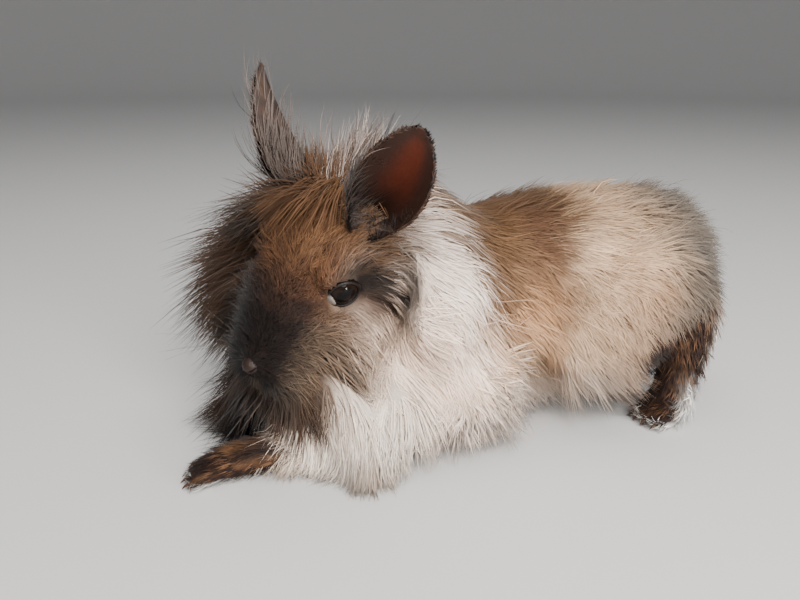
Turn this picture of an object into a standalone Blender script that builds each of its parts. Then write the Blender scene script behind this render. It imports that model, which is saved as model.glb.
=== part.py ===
"""A lionhead rabbit at life size: its chest is low over the forelegs, its hind feet stand on their toes, and its head
is turned to its left.

Metres, +Z up. The rabbit faces -Y, its left side is +X, and z = 0 is the floor that it stands on. The tables below are
in millimetres and are scaled by MM where they are used.
"""

import math

import bmesh
import bpy
import numpy as np
from mathutils import Matrix, Vector

MM = 0.001
# Between two nodes, then what a lock is cut back by from its own node's neighbour, round the locks of another node,
# and between the floor and the lowest cut lock.
GAP = 0.35
LOCK_CUT = 0.9
LOCK_GAP = 1.1
LOCK_RISE = 1.0
# Facets that meet at less than this angle, in degrees, become one.
FLAT = 3
SEED = 9

# Each row of a form: centre x, y, z, then half width, height above the centre and depth below it.
TORSO = [
    (0, 137, 80, 8, 9, 9),
    (0, 130, 77, 24, 25, 28),
    (0, 114, 74, 38, 35, 37),
    (0, 90, 72, 47, 42, 42),
    (0, 58, 72, 50, 45, 44),
    (0, 25, 70, 48, 45, 43),
    (0, -5, 64, 44, 43, 42),
    (0, -27, 55, 40, 36, 35),
    (0, -45, 46, 34, 27, 27),
    (0, -60, 40, 26, 20, 21),
    (0, -70, 38, 12, 10, 11),
]
NECK = [
    (0, 4, 76, 24, 24, 24),
    (2, -14, 84, 29, 26, 28),
    (7, -36, 94, 27, 24, 28),
    (11, -56, 100, 22, 20, 22),
]
FORELEG = [
    (36, 2, 44, 13, 12, 12),
    (40, -16, 34, 17, 16, 17),
    (40, -42, 22, 14, 13, 14),
    (35, -73, 14, 10, 9, 10),
    (30, -99, 11, 9.5, 8, 10),
    (27, -118, 9, 11.5, 8, 10),
    (26, -133, 7, 11.5, 6.5, 8),
    (25, -139, 6, 8, 4.5, 7),
]
RIGHT_FORELEG_BACK = 30
THIGH = [
    (36, 30, 44, 10, 14, 12),
    (42, 42, 50, 16, 25, 22),
    (44, 63, 58, 19, 36, 29),
    (42, 86, 63, 19, 37, 29),
    (38, 104, 66, 16, 29, 22),
    (33, 118, 70, 10, 17, 12),
]
HIND_FOOT = [
    (42, 92, 78, 8, 8, 8),
    (47, 103, 69, 12, 12, 12),
    (50, 106, 57, 13, 13, 12),
    (50, 104, 43, 11.5, 11.5, 11),
    (50, 101, 29, 11.5, 11, 10),
    (51, 98, 15, 12.5, 11.5, 10),
    (51, 94, 7, 13, 11, 9),
    (51, 88, 4, 11, 7, 6),
]
TAIL = [
    (0, 126, 84, 7, 8, 8),
    (0, 136, 79, 10, 9, 9),
    (0, 143, 70, 11, 9, 8),
    (0, 145, 60, 11, 8, 8),
    (0, 143, 51, 7, 5, 6),
]

# The head has its own axes, forward, left and up, from a point midway between the eyes.
HEAD_AT = (16, -79, 93)
HEAD_YAW, HEAD_PITCH, HEAD_ROLL = 26, 28, -13
SKULL = [
    (-46, 0, 8, 11, 10, 10),
    (-40, 0, 5, 20, 19, 20),
    (-28, 0, 0, 27, 27, 29),
    (-14, 0, -5, 29.5, 31, 30),
    (0, 0, -8, 27, 29.5, 28),
    (12, 0, -11, 24.5, 26, 26),
    (24, 0, -14, 21.5, 21.5, 22.5),
    (36, 0, -17, 18, 16.5, 18),
    (45, 0, -19, 14.5, 12, 14),
    (52, 0, -20, 9, 7.5, 9),
]
EYE_AT = (7, 16.8, 2)
EYE_RADIUS = 8.2
LID = 1.3
LID_OPENING = (7.4, 5.9)
LID_SLANT = 24

# Each row of an ear: share of its length, radius of its curl, half angle of its wrap and bend backwards.
EAR_LENGTH = {"left": 57, "right": 62}
EAR_ROOT = {"left": (-22, 14, 22), "right": (-22, -13, 22)}
EAR_AIM = {"left": (-0.14, 0.54, 0.83), "right": (-0.25, -0.62, 0.74)}
EAR_MOUTH = {"left": (0.9, 0.42, -0.1), "right": (0.75, -0.5, -0.2)}
EAR_CURL = [
    (0.00, 8.0, 150, 0.0),
    (0.18, 10.0, 135, 0.3),
    (0.40, 13.5, 100, 1.0),
    (0.62, 15.5, 75, 1.2),
    (0.82, 15.0, 55, 0.6),
    (0.94, 11.0, 42, -0.6),
    (1.00, 6.0, 22, -1.2),
]
EAR_WALL = 2.6

# The core of the mane, in the head's axes: a ruff round the face and the clearing that the face stands in. Then, in
# the model's axes, the cape over the shoulders and the bib from the throat down to the floor.
RUFF = [
    (-56, 3, -4, 24, 20, 28),
    (-46, 3, -6, 40, 34, 44),
    (-30, 1, -8, 50, 38, 53),
    (-16, -4, -9, 51, 30, 54),
    (2, -13, -12, 47, 15, 50),
    (18, -25, -16, 33, 8, 36),
]
FACE_ROOM = [
    (-30, -1, -4, 14, 20, 16),
    (-18, 0, -5, 27, 29, 26),
    (-4, 3, -6, 33, 34, 31),
    (12, 9, -7, 44, 42, 38),
    (34, 18, -8, 66, 60, 50),
]
CAPE = [
    (2, 4, 76, 24, 22, 30),
    (3, -9, 77, 40, 34, 44),
    (6, -26, 79, 50, 38, 56),
    (10, -44, 80, 52, 37, 60),
    (14, -57, 80, 42, 28, 50),
]
BIB = [
    (10, -52, 76, 28, 28, 22),
    (8, -58, 62, 42, 44, 32),
    (8, -62, 44, 49, 51, 37),
    (12, -64, 26, 50, 45, 38),
    (16, -65, 12, 45, 34, 35),
    (18, -65, 4, 35, 23, 28),
]
MANE_SECTORS = {"mane_nape": (-38, 38), "mane_left": (38, 140), "bib": (140, 206), "mane_right": (206, 322)}
MANE_MIDDLE = (-20, 0, -8)

# How the hair runs round the face: radial and forward shares at the root, then radial, forward, down and backward
# shares at the tip, for hair that grows above, left of, below and right of the head's middle. The two lower entries
# are for the left and the right half.
MANE_LIE = {
    "top": (0.55, -0.8, 0.0, -0.8, 0.35, 0.3),
    "left": (0.7, -0.55, 0.1, -0.1, 0.85, 0.4),
    "under_left": (0.7, 0.45, 0.2, 0.15, 0.9, 0.0),
    "under_right": (0.6, 0.9, 0.35, 0.85, 0.4, 0.0),
    "right": (0.8, 0.8, 0.5, 0.75, 0.35, 0.0),
}
# How the coat runs on the body: outward, backward and down shares at the root and at the tip, on top, at the sides
# and underneath.
COAT_LIE = {
    "top": (0.3, 0.95, 0.0, 0.0, 1.0, 0.15),
    "side": (0.4, 0.65, 0.45, 0.0, 0.5, 0.85),
    "under": (0.45, 0.5, 0.6, 0.0, 0.5, 0.8),
}
# Each row of locks: share of the way along its form, first and last angle, number, length and width.
CHEEK_LOCKS = [
    (0.44, 80, 165, 5, 38, 17),
    (0.62, 98, 150, 3, 36, 17),
    (0.42, 205, 275, 4, 46, 17),
    (0.55, 160, 200, 2, 30, 14),
]
RUFF_LOCKS = [
    (0.92, 200, 246, 4, 64, 28),
    (0.92, 260, 302, 3, 48, 23),
    (0.68, 60, 312, 10, 44, 19),
    (0.42, 20, 340, 12, 40, 20),
    (0.18, 30, 330, 9, 40, 20),
]
CAPE_LOCKS = [(0.55, -120, 120, 8, 40, 20), (0.25, -115, 115, 8, 36, 19), (0.4, 112, 150, 3, 42, 19)]
BIB_LOCKS = [
    (0.12, -78, -10, 3, 62, 30),
    (0.15, 15, 100, 4, 42, 20),
    (0.45, -120, 120, 7, 40, 22),
    (0.75, -130, 130, 6, 34, 23),
]
TORSO_LOCKS = [
    (0.54, -124, 124, 9, 32, 21),
    (0.45, -66, 66, 5, 34, 23),
    (0.35, -60, 60, 5, 34, 23),
    (0.25, -62, 62, 4, 32, 24),
    (0.15, -95, 95, 6, 22, 19),
    (0.06, -140, 140, 5, 15, 16),
]
THIGH_LOCKS = [(0.22, 48, 130, 4, 24, 17), (0.52, 45, 145, 4, 26, 18), (0.84, 50, 150, 3, 20, 18)]
FORELEG_LOCKS = [(0.1, 30, 130, 4, 28, 17), (0.3, 35, 120, 3, 28, 16)]
TAIL_LOCKS = [(0.35, -80, 80, 3, 18, 13), (0.75, -100, 100, 4, 16, 12)]
CROWN_LOCKS = [(-27, -7, 24), (-27, 4, 26), (-34, -12, 24), (-35, 0, 28), (-34, 11, 24)]
LOCK_THICK = 2.6
LOCK_SINK = 6.0
LOCK_PROFILE = [(0.0, 0.8, 1.0), (0.4, 1.0, 1.0), (0.75, 0.66, 0.7)]
LOWEST_HAIR = 2.2

COLOURS = {
    "fawn": (0.36, 0.25, 0.16),
    "cream": (0.62, 0.54, 0.47),
    "sable": (0.06, 0.042, 0.035),
    "eye": (0.01, 0.008, 0.008),
}


def material(name, roughness=0.85):
    """A plain coat or eye material of that colour name."""
    found = bpy.data.materials.get(name)
    if found:
        return found
    made = bpy.data.materials.new(name)
    made.use_nodes = True
    shader = made.node_tree.nodes["Principled BSDF"]
    shader.inputs["Base Color"].default_value = (*COLOURS[name], 1)
    shader.inputs["Roughness"].default_value = roughness
    shader.inputs["Metallic"].default_value = 0
    return made


def unit(v):
    v = np.asarray(v, float)
    return v / np.linalg.norm(v, axis=-1, keepdims=True)


def read_rows(rows, where):
    """The rows read at each share of the way along, on a smooth curve through them all."""
    rows = np.array(rows, float)
    ends = np.vstack([2 * rows[0] - rows[1], rows, 2 * rows[-1] - rows[-2]])
    t = np.clip(np.atleast_1d(where), 0, 1) * (len(rows) - 1)
    i = np.minimum(t.astype(int), len(rows) - 2)
    s = (t - i)[:, None]
    a, b, c, d = (ends[i + k] for k in range(4))
    bend = (2 * a - 5 * b + 4 * c - d) * s**2 + (3 * b - a - 3 * c + d) * s**3
    return 0.5 * (2 * b + (c - a) * s + bend)


def head_axes():
    """The head's forward, left and up directions, as the columns of a matrix."""
    yaw, pitch, roll = np.radians([HEAD_YAW, HEAD_PITCH, HEAD_ROLL])
    forward = np.array([math.sin(yaw) * math.cos(pitch), -math.cos(yaw) * math.cos(pitch), -math.sin(pitch)])
    level = np.array([math.cos(yaw), math.sin(yaw), 0])
    left = level * math.cos(roll) + np.cross(forward, level) * math.sin(roll)
    return np.stack([forward, left, np.cross(forward, left)], 1)


HEAD = head_axes()


def on_head(point):
    """A place given in the head's own axes, in the model's axes."""
    return np.asarray(point, float) @ HEAD.T + np.array(HEAD_AT, float)


def mesh_object(name, points, faces, look=None):
    """A mesh of these points, given in millimetres, with its faces turned outwards."""
    points = np.asarray(points, float) * MM
    faces = [tuple(int(k) for k in face) for face in faces]
    corners = points[np.array([face[:3] for face in faces])]
    if np.linalg.det(corners).sum() < 0:
        faces = [face[::-1] for face in faces]
    mesh = bpy.data.meshes.new(name)
    mesh.from_pydata(points.tolist(), [], faces)
    obj = bpy.data.objects.new(name, mesh)
    bpy.context.scene.collection.objects.link(obj)
    if look:
        mesh.materials.append(material(look))
    return obj


def strip(first, second, closed=True):
    """Triangles between two rows of point numbers, all split the same way."""
    count = len(first)
    made = []
    for j in range(count if closed else count - 1):
        k = (j + 1) % count
        made += [(first[j], first[k], second[k]), (first[j], second[k], second[j])]
    return made


def swell(points, faces, grow):
    """The points of a closed mesh moved out by grow along its normals."""
    corner = points[np.array(faces)]
    turn = np.cross(corner[:, 1] - corner[:, 0], corner[:, 2] - corner[:, 0])
    inside_out = (corner[:, 0] * turn).sum() < 0
    normals = np.zeros_like(points)
    for k in range(3):
        np.add.at(normals, np.array(faces)[:, k], -turn if inside_out else turn)
    return points + unit(normals) * grow


class Form:
    """A smooth closed body, made of oval sections along a path.

    Its table runs from the back or the root to the front or the toes, and an angle of 0 is on top, 90 on the left.
    Its parts are the number of sections along it and of sides round each one."""

    def __init__(self, rows, parts, upright=(0, 0, 1), head=False, mirror=False):
        rows = np.array(rows, float)
        self.parts = parts
        if head:
            rows[:, :3] = on_head(rows[:, :3])
            upright = HEAD[:, 2]
        if mirror:
            rows[:, 0] *= -1
        self.rows = rows
        self.upright = unit(upright)

    def frames(self, where):
        """Centres, left and up directions and sizes at these shares of the path."""
        found = read_rows(self.rows, where)
        step = 1e-3
        ahead = read_rows(self.rows, np.clip(np.atleast_1d(where) + step, 0, 1))
        behind = read_rows(self.rows, np.clip(np.atleast_1d(where) - step, 0, 1))
        along = unit(ahead[:, :3] - behind[:, :3])
        left = unit(np.cross(self.upright, along))
        return found[:, :3], left, np.cross(along, left), np.maximum(found[:, 3:], 0.5), along

    def surface(self, where, angle):
        """Points of the surface at shares of the path and angles in degrees."""
        centre, left, up, size, _ = self.frames(where)
        a = np.radians(angle)
        high = np.where(np.cos(a) > 0, size[:, 1], size[:, 2]) * np.cos(a)
        return centre + (size[:, 0] * np.sin(a))[:, None] * left + high[:, None] * up

    def normal(self, where, angle):
        """The outward direction of the surface."""
        where, angle = np.broadcast_arrays(np.atleast_1d(where).astype(float), np.atleast_1d(angle).astype(float))
        lengthwise = self.surface(where + 0.01, angle) - self.surface(where - 0.01, angle)
        across = self.surface(where, angle + 1) - self.surface(where, angle - 1)
        out = unit(np.cross(across, lengthwise))
        centre = self.frames(where)[0]
        facing = np.sign(((self.surface(where, angle) - centre) * out).sum(1))
        return out * facing[:, None]

    def solid(self, name, grow=0.0, look=None):
        """The form as a closed mesh, with its surface moved out by grow."""
        along, around = self.parts
        even = np.linspace(0, 1, along)
        where = 0.5 * even + 0.5 * (0.5 - 0.5 * np.cos(np.pi * even))
        angles = np.arange(around) * 360 / around
        rings = [self.surface(np.full(around, w), angles) for w in where]
        centre, _, _, size, direction = self.frames([0, 1])
        cap = 0.35 * size.min(1)
        poles = [centre[0] - direction[0] * cap[0], centre[1] + direction[1] * cap[1]]
        points = np.vstack([poles[0][None], *rings, poles[1][None]])
        row = [list(range(1 + around * i, 1 + around * (i + 1))) for i in range(along)]
        faces = [face for i in range(along - 1) for face in strip(row[i], row[i + 1])]
        faces += [(0, row[0][(j + 1) % around], row[0][j]) for j in range(around)]
        last = len(points) - 1
        faces += [(last, row[-1][j], row[-1][(j + 1) % around]) for j in range(around)]
        return mesh_object(name, swell(points, faces, grow), faces, look)

    def room(self, grow):
        """The space that the form takes, wider by grow all round."""
        return self.solid("room", grow)


def ball(name, centre, radii, axes=None, fine=3, look=None):
    """An egg of these radii along its axes, at that centre."""
    shape = bmesh.new()
    bmesh.ops.create_icosphere(shape, subdivisions=fine, radius=1)
    turn = np.eye(3) if axes is None else np.asarray(axes)
    points = [turn @ (np.array(v.co) * np.array(radii)) + np.array(centre) for v in shape.verts]
    faces = [[v.index for v in face.verts] for face in shape.faces]
    shape.free()
    return mesh_object(name, points, faces, look)


def block(name, low, high):
    """A box between two corners."""
    corners = [(x, y, z) for x in (low[0], high[0]) for y in (low[1], high[1]) for z in (low[2], high[2])]
    faces = [(0, 1, 3, 2), (4, 6, 7, 5), (0, 4, 5, 1), (2, 3, 7, 6), (0, 2, 6, 4), (1, 5, 7, 3)]
    return mesh_object(name, corners, faces)


def remove(objects):
    for obj in objects:
        mesh = obj.data
        bpy.data.objects.remove(obj)
        bpy.data.meshes.remove(mesh)


def combine(obj, operation, others, solver="MANIFOLD"):
    """Joins the other closed meshes to obj, cuts them from it or keeps what they share, then removes them."""
    if not others:
        return obj
    group = bpy.data.collections.new(obj.name + "_pieces")
    bpy.context.scene.collection.children.link(group)
    for other in others:
        group.objects.link(other)
    change = obj.modifiers.new("change", "BOOLEAN")
    change.operation = operation
    change.operand_type = "COLLECTION"
    change.collection = group
    change.solver = solver
    bpy.context.view_layer.update()
    graph = bpy.context.evaluated_depsgraph_get()
    made = bpy.data.meshes.new_from_object(obj.evaluated_get(graph))
    obj.modifiers.clear()
    old = obj.data
    made.name = old.name
    obj.data = made
    bpy.data.meshes.remove(old)
    remove(others)
    bpy.data.collections.remove(group)
    return obj


def keep_largest(obj):
    """Leaves only the largest closed surface of the mesh."""
    shape = bmesh.new()
    shape.from_mesh(obj.data)
    bmesh.ops.triangulate(shape, faces=shape.faces)
    left = set(shape.faces)
    groups = []
    while left:
        reached = [left.pop()]
        for face in reached:
            for edge in face.edges:
                near = [f for f in edge.link_faces if f in left and len(edge.link_faces) == 2]
                left.difference_update(near)
                reached.extend(near)
        volume = sum(f.verts[0].co.dot(f.verts[1].co.cross(f.verts[2].co)) for f in reached) / 6
        groups.append((volume, reached))
    groups.sort(key=lambda group: group[0])
    dropped = [face for _, faces in groups[:-1] for face in faces]
    bmesh.ops.delete(shape, geom=dropped, context="FACES")
    bmesh.ops.dissolve_limit(shape, angle_limit=math.radians(FLAT), verts=shape.verts, edges=shape.edges)
    bmesh.ops.triangulate(shape, faces=shape.faces)
    shape.to_mesh(obj.data)
    shape.free()
    return obj


def floor_cutter(height=0.0):
    """A block that takes away what lies below this height."""
    return block("floor_cutter", (-400, -400, -300), (400, 400, height))


torso_form = Form(TORSO, (16, 18))
neck_form = Form(NECK, (6, 12))
skull_form = Form(SKULL, (15, 18), head=True)
tail_form = Form(TAIL, (7, 10), upright=(0, 1, 0.3))
ruff_form = Form(RUFF, (10, 18), head=True)
face_room_form = Form(FACE_ROOM, (6, 14), head=True)
cape_form = Form(CAPE, (7, 16))
bib_form = Form(BIB, (8, 14), upright=(0, -1, 0.1))


def foreleg_form(side):
    rows = np.array(FORELEG, float)
    if side == "right":
        rows[2:, 1] += RIGHT_FORELEG_BACK * np.linspace(0.5, 1, len(rows) - 2)
    return Form(rows, (11, 12), mirror=side == "right")


def thigh_form(side):
    return Form(THIGH, (9, 13), mirror=side == "right")


def foot_form(side):
    return Form(HIND_FOOT, (11, 11), upright=(0, -1, 0), mirror=side == "right")


def eye_place(side):
    return on_head(np.array(EYE_AT) * (1, 1 if side == "left" else -1, 1))


def eye(side, grow=0.0, look=None):
    radius = EYE_RADIUS + grow
    return ball(f"eye_{side}", eye_place(side), (radius,) * 3, fine=3, look=look)


def lid_axes(side):
    """The slanted axes of an eye's opening: along it, out of the head and across it."""
    turn = math.radians(LID_SLANT)
    along = np.array([math.cos(turn), 0, -math.sin(turn)])
    across = np.array([math.sin(turn), 0, math.cos(turn)])
    out = np.array([0.12, 1, 0.05])
    if side == "right":
        out[1] = -1
    local = np.stack([along, unit(out), across], 1)
    return HEAD @ local


def head_forms(grow=0.0, lid_fine=3):
    """The egg shapes that fill out the skull: whisker pads, cheeks, lids, chin and nose."""
    made = []

    def egg(centre, radii, axes=HEAD, fine=2):
        made.append(ball("egg", centre, np.array(radii) + grow, axes, fine))

    for side, sign in (("left", 1), ("right", -1)):
        egg(on_head((44, 7.5 * sign, -19.5)), (10.5, 7.6, 8.6))
        egg(on_head((8, 15 * sign, -17)), (19, 11.5, 14))
        egg(eye_place(side), (EYE_RADIUS + LID + (3 - lid_fine),) * 3, lid_axes(side), lid_fine)
    egg(on_head((39, 0, -31)), (9.5, 8, 6.2))
    egg(on_head((53.2, 0, -14.4)), (4.2, 5.4, 4.2))
    return made


def head_cuts():
    """The openings of the lids, the nostrils, the mouth line and the cleft of the lip."""
    made = []
    long, high = LID_OPENING
    for side, sign in (("left", 1), ("right", -1)):
        axes = lid_axes(side)
        opening = eye_place(side) + axes[:, 1] * EYE_RADIUS
        made.append(ball("opening", opening, (long, EYE_RADIUS * 0.8, high), axes, 3))
        slit = np.stack([(0.8, 0.3 * sign, 0.5), (-0.35, 0.94 * sign, 0), (-0.47, -0.17 * sign, 0.87)], 1)
        made.append(ball("nostril", on_head((55.5, 3.6 * sign, -13.6)), (2.6, 2.4, 0.9), HEAD @ slit, 1))
        made.append(ball("mouth", on_head((44, 5.5 * sign, -28.4)), (9.5, 7.4, 0.9), HEAD, 2))
    made.append(ball("cleft", on_head((55.5, 0, -22)), (5, 0.6, 5.5), HEAD, 1))
    return made


def head():
    """The head, with the eyes' sockets cut in behind the lids."""
    body = skull_form.solid("head", look="fawn")
    combine(body, "UNION", head_forms())
    combine(body, "DIFFERENCE", head_cuts())
    combine(body, "DIFFERENCE", [eye("left", GAP), eye("right", GAP)])
    return keep_largest(body)


def ear_frame(side):
    """An ear's root and its directions: along it, out of its mouth and across it."""
    along = HEAD @ unit(EAR_AIM[side])
    mouth = HEAD @ unit(EAR_MOUTH[side])
    mouth = unit(mouth - along * (mouth @ along))
    return on_head(EAR_ROOT[side]), along, mouth, np.cross(along, mouth)


def ear_shell(side, offset, steps=10, sides=10):
    """One face of the ear's curled sheet, moved by offset out of its mouth side."""
    root, along, mouth, across = ear_frame(side)
    length = EAR_LENGTH[side]
    grid = []
    for w in np.linspace(0, 1, steps):
        share, radius, wrap, back = read_rows(EAR_CURL, w)[0]
        a = np.radians(np.linspace(-wrap, wrap, sides))
        radius_here = radius - offset
        centre = root + along * share * length + mouth * (back + radius)
        grid.append(centre - mouth * np.cos(a)[:, None] * radius_here + across * np.sin(a)[:, None] * radius_here)
    return np.array(grid)


def sheet(name, outer, inner, look):
    """A closed thin body between two grids of points, split into triangles alike on both."""
    rows, columns = outer.shape[:2]
    points = np.vstack([outer.reshape(-1, 3), inner.reshape(-1, 3)])
    number = np.arange(rows * columns).reshape(rows, columns)
    far = number + rows * columns
    faces = []
    for i in range(rows - 1):
        faces += strip(number[i], number[i + 1], closed=False)
        faces += [face[::-1] for face in strip(far[i], far[i + 1], closed=False)]
    rim = [*number[0], *number[1:, -1], *number[-1, -2::-1], *number[-2:0:-1, 0]]
    far_rim = [*far[0], *far[1:, -1], *far[-1, -2::-1], *far[-2:0:-1, 0]]
    faces += [face[::-1] for face in strip(rim, far_rim)]
    return mesh_object(name, points, faces, look)


def ear(side):
    """An open ear: a curled sheet, nearly a tube at its root, that meets the skull."""
    body = sheet(f"ear_{side}", ear_shell(side, 0), ear_shell(side, EAR_WALL), "sable")
    combine(body, "DIFFERENCE", [skull_form.room(GAP)])
    return keep_largest(body)


def ear_room(side, grow):
    """The space that an ear's root takes, as a closed tube."""
    root, along, mouth, _ = ear_frame(side)
    rows = []
    for share, radius, _, back in [(-0.12, *EAR_CURL[0][1:]), *EAR_CURL]:
        centre = root + along * share * EAR_LENGTH[side] + mouth * (back + radius)
        rows.append((*centre, radius, radius, radius))
    return Form(rows, (14, 18), upright=mouth).room(grow)


def toes(form, where, ahead, spacing, radii, height, grow=0.0):
    """Four toes side by side at that share of a leg, the middle two further ahead."""
    centre, left, _, _, _ = form.frames(where)
    made = []
    for k in (-1.5, -0.5, 0.5, 1.5):
        place = centre[0] + left[0] * k * spacing + np.array(ahead) * (1 - 0.3 * abs(k))
        place[2] = height
        made.append(ball("toe", place, np.array(radii) + grow, None, 2))
    return made


def front_toes(side, grow=0.0):
    return toes(foreleg_form(side), 0.955, (0, -4.5, 0), 5.35, (3.7, 7, 4.5), 4.1, grow)


def hind_toes(side, grow=0.0):
    return toes(foot_form(side), 0.93, (0, -5.5, 0), 5.8, (3.9, 7.5, 4.6), 4.2, grow)


def foreleg_locks(side, grow=0.0):
    """The long hair of one upper foreleg, the same at each call."""
    draw = np.random.default_rng(SEED + 5 + (side == "left"))
    form = foreleg_form(side)
    mirror = side == "right"
    return [made for row in FORELEG_LOCKS for made in row_of_locks(form, row, coat_lie, draw, grow, mirror)]


def foreleg(side):
    """A foreleg laid forward on the floor, with its toes, cut flat underneath."""
    body = foreleg_form(side).solid(f"foreleg_{side}", look="fawn")
    combine(body, "UNION", front_toes(side))
    combine(body, "DIFFERENCE", [torso_form.room(GAP), floor_cutter()])
    rooms = [torso_form.room(LOCK_CUT), floor_cutter(LOCK_RISE)]
    return fuse_locks(body, foreleg_locks(side), rooms)


def thigh(side):
    """The haunch on the flank, down to the knee, with its coat."""
    body = thigh_form(side).solid(f"thigh_{side}", look="fawn")
    combine(body, "DIFFERENCE", [torso_form.room(2 * GAP)])
    rooms = [torso_form.room(LOCK_CUT), foot_form(side).room(2 * GAP)]
    return fuse_locks(body, thigh_locks(side), rooms)


def hind_foot(side):
    """The long hind foot, heel up, standing on its toes."""
    body = foot_form(side).solid(f"hind_foot_{side}", look="sable")
    combine(body, "UNION", hind_toes(side))
    cutters = [
        torso_form.room(GAP),
        thigh_form(side).room(GAP),
        floor_cutter(),
    ]
    combine(body, "DIFFERENCE", cutters)
    return keep_largest(body)


def tail():
    body = tail_form.solid("tail", look="cream")
    combine(body, "DIFFERENCE", [torso_form.room(GAP)])
    return fuse_locks(body, tail_locks(), [torso_form.room(LOCK_CUT)])


def torso():
    """The trunk with its coat, hollowed at the chest where the lowered head sinks into it."""
    body = torso_form.solid("torso", look="fawn")
    combine(body, "DIFFERENCE", [skull_form.room(GAP), *head_forms(GAP)])
    draw = np.random.default_rng(SEED + 4)
    locks = [made for row in TORSO_LOCKS for made in row_of_locks(torso_form, row, coat_lie, draw, 0.0)]
    rooms = [mane_core(2 * GAP), *mane_locks(LOCK_GAP), tail_form.room(2 * GAP), *tail_locks(LOCK_GAP)]
    for side in ("left", "right"):
        rooms.append(thigh_form(side).room(2 * GAP))
        rooms += thigh_locks(side, LOCK_GAP)
        rooms.append(foreleg_form(side).room(2 * GAP))
        rooms += foreleg_locks(side, LOCK_GAP)
        rooms.append(foot_form(side).room(2 * GAP))
    return fuse_locks(body, locks, rooms)


def neck():
    body = neck_form.solid("neck", look="fawn")
    combine(body, "DIFFERENCE", [torso_form.room(GAP), skull_form.room(GAP)])
    return keep_largest(body)


def flesh_room():
    """The space round the smooth parts of the body, as coarse forms that clear them all."""
    rooms = [
        torso_form.room(2 * GAP),
        neck_form.room(2 * GAP),
        skull_form.room(2 * GAP),
        floor_cutter(LOCK_RISE),
    ]
    for side in ("left", "right"):
        rooms.append(foreleg_form(side).room(2 * GAP))
        rooms += front_toes(side, 2 * GAP)
        rooms += foreleg_locks(side, LOCK_GAP)
        rooms.append(ear_room(side, 3 * GAP))
    return rooms + head_forms(2 * GAP, lid_fine=2)


def wedge(name, start, end, axis_at, axis, reach=260):
    """The part of space round an axis between two angles, in degrees from straight up."""
    axis = unit(axis)
    left = unit(np.cross((0, 0, 1), axis))
    up = np.cross(axis, left)
    middle = np.array(axis_at, float)
    spread = np.radians([start, (start + end) / 2, end])
    corners = [middle] + [middle + (left * math.sin(a) + up * math.cos(a)) * reach for a in spread]
    points = np.vstack([np.array(corners) - axis * reach, np.array(corners) + axis * reach])
    faces = [(3, 2, 1, 0), (4, 5, 6, 7)]
    faces += [(j, (j + 1) % 4, (j + 1) % 4 + 4, j + 4) for j in range(4)]
    return mesh_object(name, points, faces)


def lock(root, out, start, end, length, width, grow=0.0):
    """A flat, tapered lock that leaves its root along start and bends to run along end, with its flat side to the
    body that lies opposite out."""
    first = root - out * LOCK_SINK
    middle = root + start * length * 0.5
    tip = middle + end * length * 0.6
    points = []
    for t, wide, thick in LOCK_PROFILE:
        place = (1 - t) ** 2 * first + 2 * t * (1 - t) * middle + t**2 * tip
        place[2] = max(place[2], LOWEST_HAIR)
        along = unit((1 - t) * (middle - first) + t * (tip - middle))
        side = unit(np.cross(along, out))
        face = np.cross(side, along)
        half, high = width * wide / 2 + 2 * grow, LOCK_THICK * thick + 1.5 * grow
        low = place - face * grow - along * (grow if t == 0 else 0)
        points += [low + side * half, low - side * half, low + face * (high + grow)]
    tip[2] = max(tip[2], LOWEST_HAIR)
    points.append(tip + end * 4 * grow)
    rings = [[3 * k, 3 * k + 1, 3 * k + 2] for k in range(len(LOCK_PROFILE))]
    faces = [face for k in range(len(rings) - 1) for face in strip(rings[k], rings[k + 1])]
    last = len(points) - 1
    faces += [(last, rings[-1][j], rings[-1][(j + 1) % 3]) for j in range(3)]
    faces.append((rings[0][2], rings[0][1], rings[0][0]))
    return mesh_object("lock", points, faces)


def row_of_locks(form, row, lie, draw, grow, mirror=False):
    """The locks of one row, where lie gives an angle's outward, root and tip directions."""
    share, first, last, count, length, width = row
    around = last - first == 360
    made = []
    for angle in np.linspace(first, last, count, endpoint=not around):
        turned = angle + draw.uniform(-0.3, 0.3) * (last - first) / count
        turned = -turned if mirror else turned
        where = share + draw.uniform(-0.03, 0.03)
        root = form.surface(where, turned)[0]
        normal = form.normal(where, turned)[0]
        start, end = lie(normal, turned)
        sway = draw.normal(0, 0.1, 3)
        reach = length * draw.uniform(0.85, 1.15)
        made.append(lock(root, normal, unit(start + sway), unit(end + sway), reach, width * draw.uniform(0.85, 1.1), grow))
    return made


def mane_lie(normal, angle):
    """The way that the mane runs at an angle round the head."""
    around, level = math.sin(math.radians(angle)), math.cos(math.radians(angle))
    half = "left" if around > 0 else "right"
    side = MANE_LIE[half]
    height = MANE_LIE["top" if level > 0 else "under_" + half]
    shares = np.array(side) * around**2 + np.array(height) * level**2
    radial = HEAD @ np.array([0, around, level])
    forward, down, back = HEAD[:, 0], np.array([0, 0, -1]), np.array([0, 1, 0])
    start = radial * shares[0] + forward * shares[1]
    return start, radial * shares[2] + forward * shares[3] + down * shares[4] + back * shares[5]


def coat_lie(normal, angle):
    """The way that the body's coat runs, from how far its surface faces up, sideways or down."""
    up = normal[2]
    other = COAT_LIE["top" if up > 0 else "under"]
    shares = np.array(COAT_LIE["side"]) * (1 - up**2) + np.array(other) * up**2
    down, back = np.array([0, 0, -1]), np.array([0, 1, 0])
    start = normal * shares[0] + back * shares[1] + down * shares[2]
    return start, normal * shares[3] + back * shares[4] + down * shares[5]


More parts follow.
